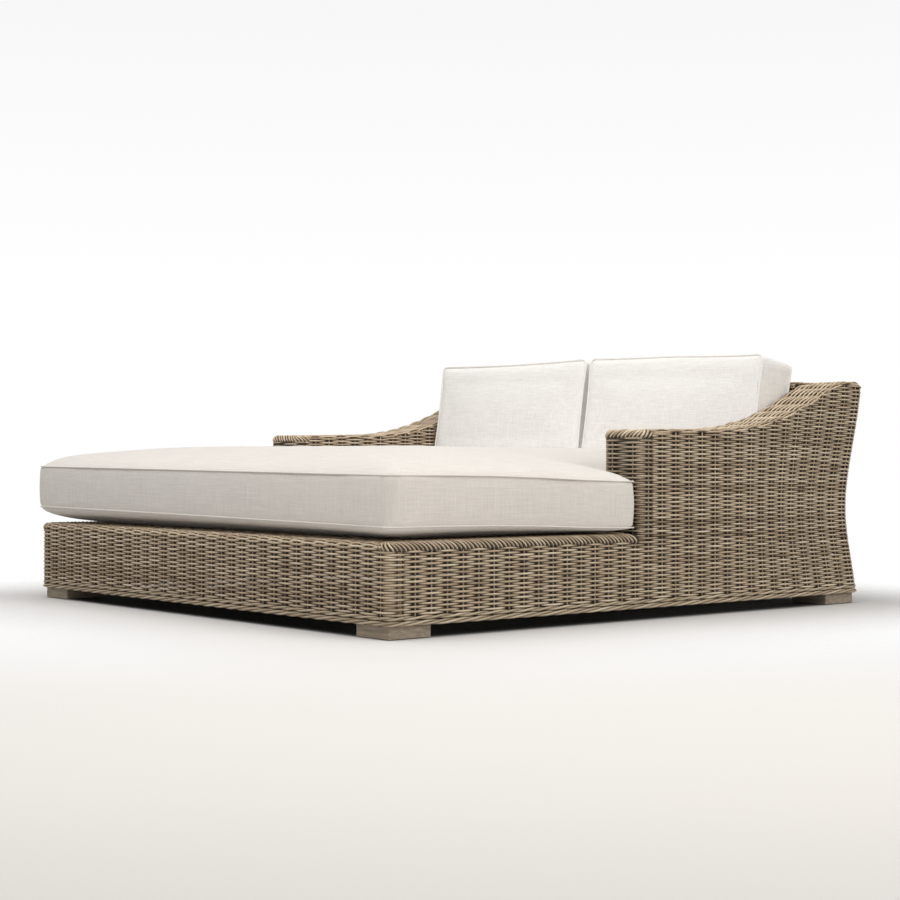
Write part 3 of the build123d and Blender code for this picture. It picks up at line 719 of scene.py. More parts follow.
def cloth_material(name, base, slub_share=0.22):
    """Linen cloth with slubs along both threads."""
    material, tree = new_tree(name)
    threads = place_group(tree, cloth_threads, {"Thread Scale": 1.0})
    height = threads.outputs["Height"]
    slubs = threads.outputs["Slubs"]
    shade = sums(tree, "MULTIPLY_ADD", noise(tree, object_place(tree), 5.0, 2.0), 0.05, 0.975)
    shade = sums(tree, "ADD", shade, times(tree, slubs, slub_share))
    shade = sums(tree, "ADD", shade, times(tree, height, 0.12))
    colour = tinted(tree, (*base, 1), shade)
    normal = bump(tree, sums(tree, "MULTIPLY_ADD", slubs, 0.7, height), 0.5, 0.0008)
    roughness = sums(tree, "MULTIPLY_ADD", height, 0.2, 0.88)
    gloss = {"Sheen Weight": 0.25, "Sheen Roughness": 0.5, "Specular IOR Level": 0.2}
    finish_material(tree, colour, roughness, normal, **gloss)
    return material


def wood_material(name, dark, light):
    """Weathered wood with long grain across the block."""
    material, tree = new_tree(name)
    place = object_place(tree)
    grain = noise(tree, stretched(tree, place, (9.0, 60.0, 160.0)), 1.0, 6.0, 0.65, 0.6)
    pores = noise(tree, stretched(tree, place, (40.0, 500.0, 900.0)), 1.0, 3.0)
    colour = ramp(tree, grain, [(0.3, dark), (0.7, light)])
    colour = tinted(tree, colour, sums(tree, "MULTIPLY_ADD", pores, 0.35, 0.82))
    normal = bump(tree, sums(tree, "MULTIPLY_ADD", pores, 0.5, grain), 0.4, 0.001)
    finish_material(tree, colour, sums(tree, "MULTIPLY_ADD", grain, 0.2, 0.55), normal)
    return material


def coated_material(name, base, least_roughness, metallic, grain_size):
    """Coated or bare metal and moulded plastic: a fine grain in colour, gloss and surface."""
    material, tree = new_tree(name)
    place = object_place(tree)
    grain = noise(tree, place, grain_size, 3.0)
    broad = noise(tree, place, 14.0, 2.0)
    shade = sums(tree, "MULTIPLY_ADD", grain, 0.12, 0.94)
    shade = times(tree, shade, sums(tree, "MULTIPLY_ADD", broad, 0.25, 0.88))
    roughness = sums(tree, "MULTIPLY_ADD", broad, 0.2, least_roughness)
    normal = bump(tree, grain, 0.15, 0.0004)
    finish_material(tree, tinted(tree, (*base, 1), shade), roughness, normal, Metallic=metallic)
    return material


woven = strand_material("woven_strand", (0.235, 0.162, 0.097), (0.60, 0.47, 0.325), (0.90, 0.765, 0.575))
roped = strand_material("border_strand", (0.32, 0.24, 0.155), (0.52, 0.415, 0.285), (0.72, 0.605, 0.45), 9.0)
# One cloth in two brightnesses: the seat's darker copy is painted shade, the back cushions' lighter copy
# painted light
linen = cloth_material("cushion_linen", (0.74, 0.695, 0.64))
lit_pillow_linen = cloth_material("back_cushion_linen_painted_light", (0.90, 0.878, 0.845))
piping = cloth_material("welt_linen", (0.73, 0.69, 0.635), 0.1)
lit_pillow_piping = cloth_material("back_welt_linen_painted_light", (0.90, 0.878, 0.845), 0.1)
foot_wood = wood_material("weathered_wood", (0.21, 0.165, 0.12), (0.44, 0.365, 0.275))
frame_coat = coated_material("frame_coat", (0.10, 0.082, 0.065), 0.35, 0.35, 900.0)
bolt_steel = coated_material("bolt_steel", (0.58, 0.58, 0.59), 0.22, 1.0, 500.0)
glide_nylon = coated_material("glide_nylon", (0.03, 0.03, 0.03), 0.4, 0.0, 1200.0)
zip_cloth = coated_material("zip_coil", (0.66, 0.63, 0.57), 0.5, 0.0, 1500.0)
zip_metal = coated_material("zip_metal", (0.60, 0.58, 0.54), 0.2, 1.0, 800.0)


def body_piece(strands, name, material, slot, *nodes):
    """Gathered strands become one piece of the body, which stands for its CAD nodes."""
    piece = strands.build(name, material)
    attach(piece, "body_frame")
    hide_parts(*nodes)


def skin(strands, name, *nodes):
    """A woven piece of the body."""
    body_piece(strands, name, woven, "woven_strand", *nodes)


# Base: foot end and sides


def weave_base():
    """Skins of the foot end and of both sides, up to the rolled rim."""
    left_corner = (-front_corner[1], -front_corner[0])
    foot = Weave(ring, ring_stakes, ring_first, 11, (front_corner, left_corner))
    for number in base_rows:
        foot.row(number, row_height(number), -cut_place, cut_place)
    for stake in inside(-cut_place, cut_place, ring_stakes):
        foot.stake(stake, skirt_foot, ledge_edge + edge_lap)
    for side in (-1, 1):
        foot.stake(side * (front_corner_end + stake_setback + double_gap), skirt_foot, ledge_edge)
    skin(foot.strands, "foot_end_weave", "base_front_panel")
    for side, surface, seed in (("left", mirrored(ring), 21), ("right", ring, 22)):
        panel = Weave(surface, half_stakes, 0, seed)
        for number in base_rows:
            panel.row(number, row_height(number), cut_place, rear_cut)
        for stake in inside(cut_place, rear_cut, half_stakes):
            panel.stake(stake, skirt_foot, ledge_edge + edge_lap)
        skin(panel.strands, f"base_side_weave_{side}", f"base_side_panel_{side}")


# Rolled edges: their surface, the wraps over them and the core strands beneath, painted dark as shade


def rolled(outline, radius, top):
    """A rolled edge over an outline: w runs along it, v up and over it from where it starts to turn."""

    def surface(w, v):
        w = np.asarray(w, float)
        v = np.broadcast_to(np.asarray(v, float), w.shape)
        turn = np.clip(v / radius, 0, pi / 2)
        inset = radius * (1 - np.cos(turn)) + np.maximum(v - radius * pi / 2, 0)
        place, out = outline(w, top)
        place = place - out * inset[:, None]
        place[:, 2] = top - radius * (1 - np.sin(turn)) + np.minimum(v, 0)
        look = out * np.cos(turn)[:, None] + upward * np.sin(turn)[:, None]
        return place, look

    return surface


def wrap_edge(strands, surface, lanes, slant, radius, random):
    """One slanted wrap for each (place, low, high) lane of a rolled edge, its ends sunk in."""
    for w, low, high in lanes:
        v = np.linspace(low, high, 13)
        size = radius * random.uniform(*wrap_thickness)
        place, look = surface(w + random.uniform(-wrap_wander, wrap_wander) - slant * (v - low), v)
        line = place - look * (size + random.uniform(0, wrap_sink_wander))
        for past in (v - low, high - v):
            line = line - look * (wrap_end_sink * smooth(1 - past / wrap_end_length))[:, None]
        strands.add(line, look, size, random.uniform(0.1, 1.0))


def core_strands(strands, surface, start, end, levels, random):
    """Strands along a rolled edge, deep under its wraps and painted nearly black as shade."""
    for level in levels:
        w = np.linspace(start, end, int((end - start) / core_step) + 2)
        place, look = surface(w, level)
        strands.add(place - look * core_depth, look, strand_radius, random.uniform(), core_painted_shade)


def weave_front_rim(reach, depth):
    """The rim of the foot end is woven."""
    roll = rolled(ring, rim_radius, deck_high.z)
    front = Weave(roll, ring_stakes, ring_first, 71)
    for step, v in enumerate(np.arange(0.0, depth + wrap_tuck, row_pitch)):
        front.row(len(base_rows) + step, v, -reach, reach)
    for stake in inside(-reach, reach, ring_stakes):
        front.stake(stake, -edge_lap, depth + 0.01, step=0.006)
    skin(front.strands, "rim_weave_front", "rim_front")


def wrap_side_rim(side, outline, reach, depth, seed):
    """The rim of a side is wrapped, and its wraps fan round the foot-end corner."""
    random = np.random.RandomState(seed)
    strands = Strands()
    roll = rolled(outline, rim_radius, deck_high.z)
    rim_end = front_corner_end + arm_front - edge_lap - side_start
    lanes = []
    for w in np.arange(reach, rim_end, wrap_pitch):
        fanned = front_straight - 0.02 < w < front_corner_end + 0.03
        lanes.append((w, -wrap_foot, fan_wrap_top if fanned else depth + wrap_tuck))
    wrap_edge(strands, roll, lanes, wrap_slant, wrap_radius, random)
    core_strands(strands, roll, reach, rim_end, np.arange(*core_turn, core_pitch), random)
    flat = np.arange(core_flat_start, depth + wrap_tuck, core_pitch)
    core_strands(strands, roll, front_corner_end + 0.02, rim_end, flat, random)
    skin(strands, f"rim_wrap_{side}", f"rim_{side}")


def weave_rims():
    """The rolled rims along the foot end and along the sides as far as the arms."""
    depth = rim_high.x - rim_low.x
    reach = front_straight - rim_joint
    weave_front_rim(reach, depth)
    wrap_side_rim("left", mirrored(ring), reach, depth, 72)
    wrap_side_rim("right", ring, reach, depth, 73)


# Arms

fold_top = float(np.interp(arm_front + face_round, arm_run, arm_rise)) + cap_depth
fold_start = fold_top - face_round


def skin_start(z):
    """How far back the skins of an arm start at this height, under its sloping top."""
    return np.interp(z, arm_rise, arm_run) - slope_lap if z > arm_rise[0] else arm_front


def weave_arm_outer(surface, seed):
    """The outer side, whose rows stop at the sloping top."""
    outer = Weave(surface, arm_stakes, arm_first, seed)
    for number in arm_rows:
        z = row_height(number)
        start = arm_corner + skin_start(z) - (arm_front + corner_radius)
        if start < rear_cut - short_row:
            outer.row(number, z, max(arm_outer_cut, start), rear_cut)
    for stake in inside(arm_outer_cut, rear_cut, arm_stakes):
        y = arm_front + corner_radius + stake - arm_corner
        outer.stake(stake, ledge_edge - edge_lap, np.interp(y, arm_run, arm_rise) + edge_gap)
    return outer.strands


def fold_arm_front(strands, outline, seed):
    """Wraps that carry the face of an arm over its top edge."""
    random = np.random.RandomState(seed)
    roll = rolled(outline, face_round, fold_top)
    places = np.arange(arm_inner_cut - 0.02, arm_outer_cut - 0.01, face_wrap_pitch)
    lanes = [(w, -face_wrap_foot, face_round * pi / 2 + wrap_tuck) for w in places]
    wrap_edge(strands, roll, lanes, face_slant, face_wrap_radius, random)
    levels = np.arange(*face_core_turn, core_pitch)
    core_strands(strands, roll, arm_inner_cut, arm_outer_cut, levels, random)


def weave_arm_face(surface, seed):
    """The face and its two rounded corners, up to the wraps over its top edge."""
    face = Weave(surface, arm_stakes, arm_first, seed, (arm_outer_corner, arm_inner_corner))
    # Rows and stakes of the face are given extra painted shade
    for number in arm_rows:
        if row_height(number) < fold_start - 0.001:
            face.row(number, row_height(number), arm_inner_cut, arm_outer_cut, dark=face_row_painted_shade)
    for stake in inside(arm_inner_cut, arm_outer_cut, arm_stakes):
        lift = face_stake_lift if arm_face_start < stake < arm_face_end else stake_lift
        face.stake(stake, ledge_edge - edge_lap, fold_start, lift=lift, dark=face_stake_painted_shade)
    fold_arm_front(face.strands, surface, seed + 2)
    return face.strands


def weave_arm_inner(surface, seed):
    """The inner side, from the deck up and as far back as the leaning back."""
    inner = Weave(surface, arm_stakes, arm_first, seed)
    for number in arm_rows:
        z = row_height(number)
        back_reach = np.interp(z, [deck_high.z, back_edge], [back_inner_low.y, back_cap_low.y])
        end = arm_side_start - (back_reach - arm_front - corner_radius)
        start = arm_side_start - max(skin_start(z) - arm_front - corner_radius, corner_radius)
        if z > deck_high.z - 0.01 and start - end > short_row:
            inner.row(number, z, end, start)
    for stake in arm_stakes[arm_stakes < arm_inner_cut]:
        y = arm_front + corner_radius + arm_side_start - stake
        if y < back_cap_low.y:
            low = np.interp(y, [back_inner_low.y, back_cap_low.y], [deck_low.z, back_edge])
            inner.stake(stake, max(low, deck_low.z), np.interp(y, arm_run, arm_rise) + edge_gap)
    return inner.strands


def weave_arms():
    """Skins of the arms: outside, face and inside."""
    for side, surface, seed in (("left", mirrored(arm_ring), 31), ("right", arm_ring, 41)):
        skin(weave_arm_outer(surface, seed), f"arm_outer_weave_{side}", f"arm_outer_panel_{side}")
        skin(weave_arm_face(surface, seed + 1), f"arm_front_weave_{side}", f"arm_front_panel_{side}")
        skin(weave_arm_inner(surface, seed + 2), f"arm_inner_weave_{side}", f"arm_inner_panel_{side}")


# Back: its leaning front and its rear, which reaches round both rear corners


def back_face(w, v):
    """The front of the back, which leans: w runs across, v up."""
    place = three(w, back_inner_low.y + (v - deck_low.z) * lean, v)
    return place, np.broadcast_to(lean_way, place.shape)


def back_rear(w, v):
    """The rear of the body: w runs across it and round both its corners."""
    w = np.asarray(w, float)
    turn = three(np.where(w < 0, -1.0, 1.0), 1, 1)
    place, out = ring(ring_end - np.abs(w), v)
    return place * turn, out * turn


def weave_back():
    """Skins of the back: its rear in two halves and its leaning front."""
    reach = ring_end - rear_cut
    half = ring_end - half_stakes[::-1]
    stakes = np.concatenate([-half[:0:-1], half])
    corner = (ring_end - rear_corner[1], ring_end - rear_corner[0])
    corners = (corner, (-corner[1], -corner[0]))
    middle = row_count // 2
    middle_height = row_height(middle) - row_pitch / 2
    halves = (
        ("lower", range(middle), skirt_foot, middle_height, 51),
        ("upper", range(middle, row_count), middle_height, back_edge, 53),
    )
    for name, rows, low, high, seed in halves:
        rear = Weave(back_rear, stakes, 0, seed, corners)
        for number in rows:
            rear.row(number + 1, row_height(number), -reach, reach)
        for stake in inside(-reach, reach, stakes):
            rear.stake(stake, low, high, step=0.02)
        skin(rear.strands, f"back_rear_weave_{name}", "back_outer_panel")

    front = Weave(back_face, back_stakes, 0, 52)
    for number in arm_rows:
        if deck_low.z + edge_lap < row_height(number) < back_edge - edge_gap:
            front.row(number, row_height(number), -arm_inner + edge_gap, arm_inner - edge_gap)
    for stake in back_stakes:
        front.stake(stake, deck_low.z + edge_gap, back_edge)
    skin(front.strands, "back_front_weave", "back_inner_panel")


# Caps: strands that run along the arms and the back, over the stakes that bend across them


def cap_side(width, bend):
    """Half of a cap's section, from the foot of its side to the start of its flat top: places and ways."""
    start = np.arcsin(max(0.0, (bend - cap_depth) / bend))
    turn = np.linspace(start, pi / 2, 7)
    ways = np.stack([np.cos(turn), np.sin(turn)], axis=1)
    places = bend * ways + (width / 2 - bend, cap_depth - bend)
    if bend < cap_depth:
        places = np.concatenate([[[width / 2, 0.0]], places])
        ways = np.concatenate([[[1.0, 0.0]], ways])
    return places, ways


def cap_section(width, outer_bend, inner_bend):
    """Across a cap from its outer side to its inner side: places, outward ways and distance."""
    outer, outer_ways = cap_side(width, outer_bend)
    inner, inner_ways = cap_side(width, inner_bend)
    places = np.concatenate([outer, inner[::-1] * (-1, 1)])
    ways = np.concatenate([outer_ways, inner_ways[::-1] * (-1, 1)])
    run = np.concatenate([[0], np.cumsum(np.linalg.norm(np.diff(places, axis=0), axis=1))])
    return places, ways, run


arm_section = cap_section(arm_width, cap_round, cap_round)
back_section = cap_section(back_cap_high.y - back_cap_low.y, top_round, cap_round)


def front_inset(side):
    """How far the rounded front corners of an arm stand back at this place across it."""
    past = np.clip(np.abs(side) - (arm_width / 2 - corner_radius), 0, corner_radius)
    return corner_radius - np.sqrt(corner_radius**2 - past**2)


def arm_top(w, v):
    """The top of the right arm and down its rounded rear edge: w runs back, v from the outside in."""
    w = np.asarray(w, float)
    places, ways, run = arm_section
    v = np.broadcast_to(v, w.shape)
    side = np.interp(v, run, places[:, 0])
    rise = np.interp(v, run, places[:, 1])
    out_x = np.interp(v, run, ways[:, 0])
    out_z = np.interp(v, run, ways[:, 1])
    over = np.maximum(w - bend_start, 0) / top_round
    along = np.maximum(w, arm_front + front_inset(side))
    y = np.where(over > 0, bend_start + top_round * np.sin(over), along)
    past = np.clip(y - (rear_end - rear_corner_radius), 0, rear_corner_radius)
    rear_inset = rear_corner_radius - np.sqrt(rear_corner_radius**2 - past**2)
    side = np.minimum(side, arm_width / 2 - rear_inset)
    height = np.interp(np.minimum(w, bend_start), arm_run, arm_rise)
    tilt = (np.interp(w, arm_run, arm_rise) - np.interp(w - 0.01, arm_run, arm_rise)) / 0.01
    place = three(half_width - arm_width / 2 + side, y, height + rise - top_round * (1 - np.cos(over)))
    out = unit(three(out_x, (np.sin(over) - tilt * np.cos(over)) * out_z, out_z * np.cos(over)))
    return place, out


def back_top_face(w, v):
    """The top of the back between the arms: w runs across, v from the rear to the front."""
    w = np.asarray(w, float)
    places, ways, run = back_section
    v = np.broadcast_to(v, w.shape)
    middle = (back_cap_low.y + back_cap_high.y) / 2
    place = three(w, middle + np.interp(v, run, places[:, 0]), back_edge + np.interp(v, run, places[:, 1]))
    out = unit(three(0, np.interp(v, run, ways[:, 0]), np.interp(v, run, ways[:, 1])))
    return place, out


def weave_caps():
    """Strands along the tops of the arms and of the back."""
    side_places = half_stakes[arm_index:]
    along_arm = arm_front + corner_radius + side_places[side_places < rear_corner_start] - arm_corner
    along_arm = np.concatenate([[arm_front - 0.045], along_arm, [rear_end + 0.04]])
    places = arm_section[0]
    run = arm_section[2]
    for side, surface, seed in (("left", mirrored(arm_top), 61), ("right", arm_top, 62)):
        cap = Weave(surface, along_arm, arm_index - 1, seed)
        for number, lane in enumerate(np.arange(row_pitch * 0.6, run[-1], cap_pitch)):
            across = np.interp(lane, run, places[:, 0])
            rise = np.interp(lane, run, places[:, 1])
            past = np.clip((abs(across) - arm_width / 2 + corner_radius) / corner_radius, 0, 1)
            start = arm_front + face_round + 0.004 + past**2 * (2 * corner_radius - face_round - 0.008)
            bend = np.arccos(1 - (rise + 0.006) / top_round)
            cap.row(number, lane, start, bend_start + top_round * bend, cap_radius)
        for stake in along_arm[1:-1]:
            cap.stake(stake, edge_gap, run[-1] - edge_gap, step=cap_stake_step)
        skin(cap.strands, f"arm_cap_weave_{side}", f"arm_cap_{side}")
    cap = Weave(back_top_face, back_stakes, 0, 63)
    length = back_section[2][-1]
    for number, lane in enumerate(np.arange(row_pitch * 0.6, length, cap_pitch)):
        cap.row(number, lane, -arm_inner + edge_gap, arm_inner - edge_gap, cap_radius)
    for stake in back_stakes:
        cap.stake(stake, edge_gap, length - edge_gap, step=cap_stake_step)
    skin(cap.strands, "back_cap_weave", "back_cap")


# Rope along the bottom edge, with a thinner twisted pair on top of it


def twist(strands, spans, height, count, lay, pitch, radius, random):
    """Strands twisted round each other along the body's outline."""
    for start, end in spans:
        w = np.linspace(start, end, int(round(abs(end - start) / rope_step)) + 1)
        place, out = ring(w, height)
        middle = place - out * (lay + radius + rope_gap)
        for strand in range(count):
            angle = 2 * pi * (w / pitch + strand / count)
            line = middle + (out * np.cos(angle)[:, None] + upward * np.sin(angle)[:, None]) * lay
            # Painted shade where a rope strand turns in behind the others
            sunk = (1 - np.cos(angle)) / 2 * 0.5
            strands.add(line, out, radius, random.uniform(0.3, 1.0), sunk, 8)


def lay_rope(name, node, spans, seed):
    """A three-strand rope with the pair on top of it."""
    random = np.random.RandomState(seed)
    strands = Strands()
    rope_height = (border_low.z + border_high.z) / 2
    twist(strands, spans, rope_height, 3, rope_lay, rope_pitch, rope_strand_radius, random)
    pair_middle = border_high.z + pair_height / 2
    twist(strands, spans, pair_middle, 2, pair_lay, pair_pitch, pair_strand_radius, random)
    body_piece(strands, name, roped, "border_strand", node)


# Deck under the seat cushion


def deck_face(w, v):
    w = np.asarray(w, float)
    middle = (deck_low.z + deck_high.z) / 2
    place = three(w, v, middle + skin_middle)
    return place, np.broadcast_to(upward, place.shape)


def weave_deck():
    """An open weave, with its stakes from the foot end to the back."""
    wide = spaced(deck_low.x + 0.01, deck_high.x - 0.01, deck_stake_pitch)
    deck = Weave(deck_face, wide, 0, 91)
    deck.shares = deck_row_shares
    for number, y in enumerate(np.arange(deck_low.y + 0.006, deck_high.y - edge_lap, deck_row_pitch)):
        side = deck_high.x if y < arm_front + 0.01 else arm_inner
        deck.row(number, y, -side + 0.003, side - 0.003)
    for stake in wide:
        end = deck_high.y if abs(stake) < arm_inner else arm_front + 0.012
        deck.stake(stake, deck_low.y + edge_gap, end - 0.003, step=0.4)
    skin(deck.strands, "deck_weave", "deck_panel")


weave_base()
weave_rims()
weave_arms()
weave_back()
weave_caps()
lay_rope("bottom_rope_front", "border_front", [(-cut_place, cut_place)], 81)
lay_rope("bottom_rope_sides", "border_sides", [(cut_place, rear_cut), (-rear_cut, -cut_place)], 82)
lay_rope("bottom_rope_rear", "border_rear", [(rear_cut, ring_end), (-ring_end, -rear_cut)], 83)
weave_deck()


# Finishes of the CAD pieces

kept_finishes = {
    "weathered_wood": foot_wood,
    "frame_tube": frame_coat,
    "bolt_steel": bolt_steel,
    "glide_nylon": glide_nylon,
    "zip_coil": zip_cloth,
    "zip_metal": zip_metal,
    "welt_cloth": piping,
    "cushion_cloth": linen,
    "woven_strand": woven,
    "border_strand": roped,
}
for part in frame["record"]["subparts"]:
    kept = frame["nodes"][part["node"]]
    kept.data.materials.clear()
    kept.data.materials.append(kept_finishes[part["material_slot"]])


# Cushions


def read_points(mesh, kind="co"):
    values = np.empty(len(mesh.vertices) * 3)
    mesh.vertices.foreach_get(kind, values)
    return values.reshape(-1, 3)


def node_points(node):
    return read_points(frame["nodes"][node].data)


def shape_mesh(mesh, points):
    mesh.vertices.foreach_set("co", points.astype(np.float32).ravel())
    mesh.update()


def evaluated_mesh(piece):
    """A piece's mesh as its modifiers leave it."""
    depsgraph = bpy.context.evaluated_depsgraph_get()
    return bpy.data.meshes.new_from_object(piece.evaluated_get(depsgraph))


def swell(name, node, voxel, reach, flat_way, seams):
    """A cushion that a cloth simulation swells from its solid, held along its two seams."""
    cushion = add_object(name, frame["nodes"][node].data.copy())
    remesh = cushion.modifiers.new("even", "REMESH")
    remesh.mode = "VOXEL"
    remesh.voxel_size = voxel
    mesh = evaluated_mesh(cushion)
    cushion.modifiers.clear()
    cushion.data = mesh
    points = read_points(mesh)
    distance = np.min([np.abs(points @ flat_way - level) for level in seams], axis=0)
    normals = read_points(mesh, "normal")
    flat = smooth((np.abs(normals @ flat_way) - 0.3) / 0.5)
    away = smooth((distance - voxel) / 0.05) * flat
    start = points - normals * (reach * away)[:, None]
    shape_mesh(mesh, start)
    held = cushion.vertex_groups.new(name="held")
    held.add([int(index) for index in np.nonzero(distance < 1.3 * voxel)[0]], 1.0, "ADD")
    cloth = cushion.modifiers.new("cloth", "CLOTH")
    for key, value in cloth_settings.items():
        setattr(cloth.settings, key, value)
    cloth.settings.effector_weights.gravity = 0
    cloth.settings.vertex_group_mass = "held"
    for number in range(1, cloth_frames + 1):
        bpy.context.scene.frame_set(number)
    step = read_points(evaluated_mesh(cushion)) - start
    size = np.linalg.norm(step, axis=1, keepdims=True)
    points = start + step * (reach * 1.1) * np.tanh(size / reach) / np.maximum(size, 1e-9)
    cushion.modifiers.clear()
    bpy.context.scene.frame_set(1)
    return cushion, points


def settle(cushion, points, material, body, slot, *nodes):
    """A soft piece takes its last form, its cloth and its place."""
    shape_mesh(cushion.data, points)
    cushion.data.polygons.foreach_set("use_smooth", np.ones(len(cushion.data.polygons), bool))
    cushion.data.materials.clear()
    cushion.data.materials.append(material)
    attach(cushion, body)
    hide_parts(*nodes)


def follow(name, node, points, material, body):
    """The welts of a cushion, moved with its form."""
    piece = add_object(name, frame["nodes"][node].data.copy())
    settle(piece, points, material, body, "welt_cloth", node)


def round_corner(points, radius, side):
    """Rounds one foot-end corner of the seat cushion in plan."""
    turned = points.copy()
    a = np.clip((side * points[:, 0] - (seat_high.x - radius)) / radius, 0, 1)
    b = np.clip(((seat_low.y + radius) - points[:, 1]) / radius, 0, 1)
    turned[:, 0] -= side * radius * a * (1 - np.sqrt(1 - b * b / 2))
    turned[:, 1] += radius * b * (1 - np.sqrt(1 - a * a / 2))
    return turned


def seat_form(points):
    """How the seat cushion lies: high toward the left foot-end corner, low beside the right arm."""
    x, y, z = points.T
    toward_foot = smooth((-0.15 - y) / (-0.15 - foot_end))
    inset = np.minimum(half_width - np.abs(x), y - foot_end)
    at_edge = 1 - 0.9 * smooth(inset / 0.35)
    lift = toward_foot * (foot_lift - foot_lift_tilt * x / half_width) * at_edge
    by_arm = smooth((x - 0.35) / 0.5) * np.exp(-(((y + 0.09) / 0.33) ** 2)) * (1 - smooth((y + 0.06) / 0.3))
    rise = np.clip((z - deck_high.z) / (seat_seams[0] - deck_high.z), 0, 1)
    moved = round_corner(points, corner_round, 1)
    crown = seat_high.z - seat_seams[1]
    share = np.clip((z - seat_seams[1] - 2 * welt_radius) / crown, 0, 1)
    fuller = crown * (0.95 * (1 - (1 - share) ** 1.45) - share)
    moved[:, 2] = np.maximum(z + fuller + (lift - arm_droop * by_arm) * rise, deck_high.z + seat_clearance)
    belly = belly_depth * np.sin(pi * rise)
    moved[:, 0] += np.sign(x) * belly * smooth((np.abs(x) - seat_high.x + 0.06) / 0.04)
    moved[:, 1] -= belly * smooth((seat_low.y + 0.06 - y) / 0.04)
    wing_end = smooth((x - 0.8) / 0.06) * smooth((y - arm_front + 0.3) / 0.25)
    moved[:, 0] += wing_bulge * wing_end * (0.4 + 0.6 * rise)
    left_end = toward_foot * smooth((-x - 0.3) / 0.5)
    moved[:, 0] -= left_reach[0] * left_end
    moved[:, 1] -= left_reach[1] * left_end
    return moved


def seat_welt_form(points):
    """The seat's welts, drawn in and thinner, so that they lie in the seams."""
    seam = np.where(points[:, 2] < np.mean(seat_seams), *seat_seams)
    sunk = points * (1 - 0.0055 / half_width, 1 - 0.0055 / half_width, 1)
    sunk[:, 2] = seam + (points[:, 2] - seam) * 0.6
    return seat_form(sunk)


def ripple(points, size, seed):
    """A slow unevenness, different at every place."""
    random = np.random.RandomState(seed)
    total = np.zeros(len(points))
    for step in range(7):
        way = unit(random.normal(size=3))
        total += np.sin(points @ way * random.uniform(9, 26) + random.uniform(0, 6.3))
    return total * size / 3.0


def make_seat_cushion():
    """The seat cushion: its cover, a little uneven on top, and its welts."""
    seat, points = swell("seat_cushion_cover", "seat_cushion", seat_voxel, seat_swelling, upward, seat_seams)
    top = smooth((points[:, 2] - seat_seams[1]) / 0.05)
    points[:, 2] += ripple(points, 0.0012, 8) * top
    settle(seat, seat_form(points), linen, "seat_cushion_body", "cushion_cloth", "seat_cushion")
    welts = seat_welt_form(node_points("seat_welts"))
    follow("seat_piping", "seat_welts", welts, piping, "seat_cushion_body")


def pillow_form(points, seams):
    """How a back cushion stands: its front turned a little, its end by the right arm low."""
    depth = (points @ lean_way - seams[0]) / (seams[1] - seams[0])
    forward = np.clip((depth - 0.5) / 0.5, 0, 1.1)
    moved = points.copy()
    moved[:, 1] += forward * pillow_turn * points[:, 0] / arm_inner
    by_arm = smooth((points[:, 0] - 0.3) / (arm_inner - 0.3))
    moved[:, 2] -= pillow_droop * by_arm * smooth((points[:, 2] - 0.5) / 0.2)
    return moved


def bed_zip(points, zips, inward):
    """Keeps a cover just inside the zip that is sewn to it."""
    outside = np.maximum(np.maximum(zips.min(axis=0) - points, points - zips.max(axis=0)), 0)
    near = smooth(1 - np.linalg.norm(outside, axis=1) / 0.03)
    short = np.maximum((zips @ inward).max() + 0.0005 - points @ inward, 0)
    return points + inward * (short * near)[:, None]


def make_back_cushion(side):
    """One back cushion: its cover, bedded on its zip, and its welts."""
    node = f"back_cushion_{side}"
    welt_node = f"back_cushion_welts_{side}"
    body = f"{side}_back_cushion_body"
    welts = node_points(welt_node)
    depths = welts @ lean_way
    seams = (depths.min() + welt_radius, depths.max() - welt_radius)
    pillow, points = swell(f"{node}_cover", node, pillow_voxel, pillow_swelling, lean_way, seams)
    points = bed_zip(pillow_form(points, seams), node_points(f"back_cushion_zip_{side}"), lean_up)
    settle(pillow, points, lit_pillow_linen, body, "cushion_cloth", node)
    low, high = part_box(node)
    middle = np.array((low + high) / 2)
    drawn_in = 1 - 0.003 / np.array([(high.x - low.x) / 2, np.inf, (high.z - low.z) / 2])
    welts = pillow_form(middle + (welts - middle) * drawn_in, seams)
    follow(f"{node}_piping", welt_node, welts, lit_pillow_piping, body)


make_seat_cushion()
make_back_cushion("left")
make_back_cushion("right")


# Camera, floor and light


def place_camera():
    """The camera of the photograph, found from the straight edges of the body."""
    azimuth = radians(camera_azimuth)
    pitch = radians(camera_pitch)
    roll = radians(camera_roll)
    ahead = Vector((-sin(azimuth) * cos(pitch), cos(azimuth) * cos(pitch), sin(pitch)))
    level = Vector((cos(azimuth), sin(azimuth), 0))
    above = level.cross(ahead)
    right = level * cos(roll) + above * sin(roll)
    up = above * cos(roll) - level * sin(roll)
    camera = add_object("camera", bpy.data.cameras.new("camera"))
    camera.data.lens = camera_lens
    camera.data.sensor_width = camera_sensor
    camera.data.clip_end = 200.0
    turn = Matrix((right, up, -ahead)).transposed()
    camera.matrix_world = Matrix.Translation(camera_place) @ turn.to_4x4()
    bpy.context.scene.camera = camera


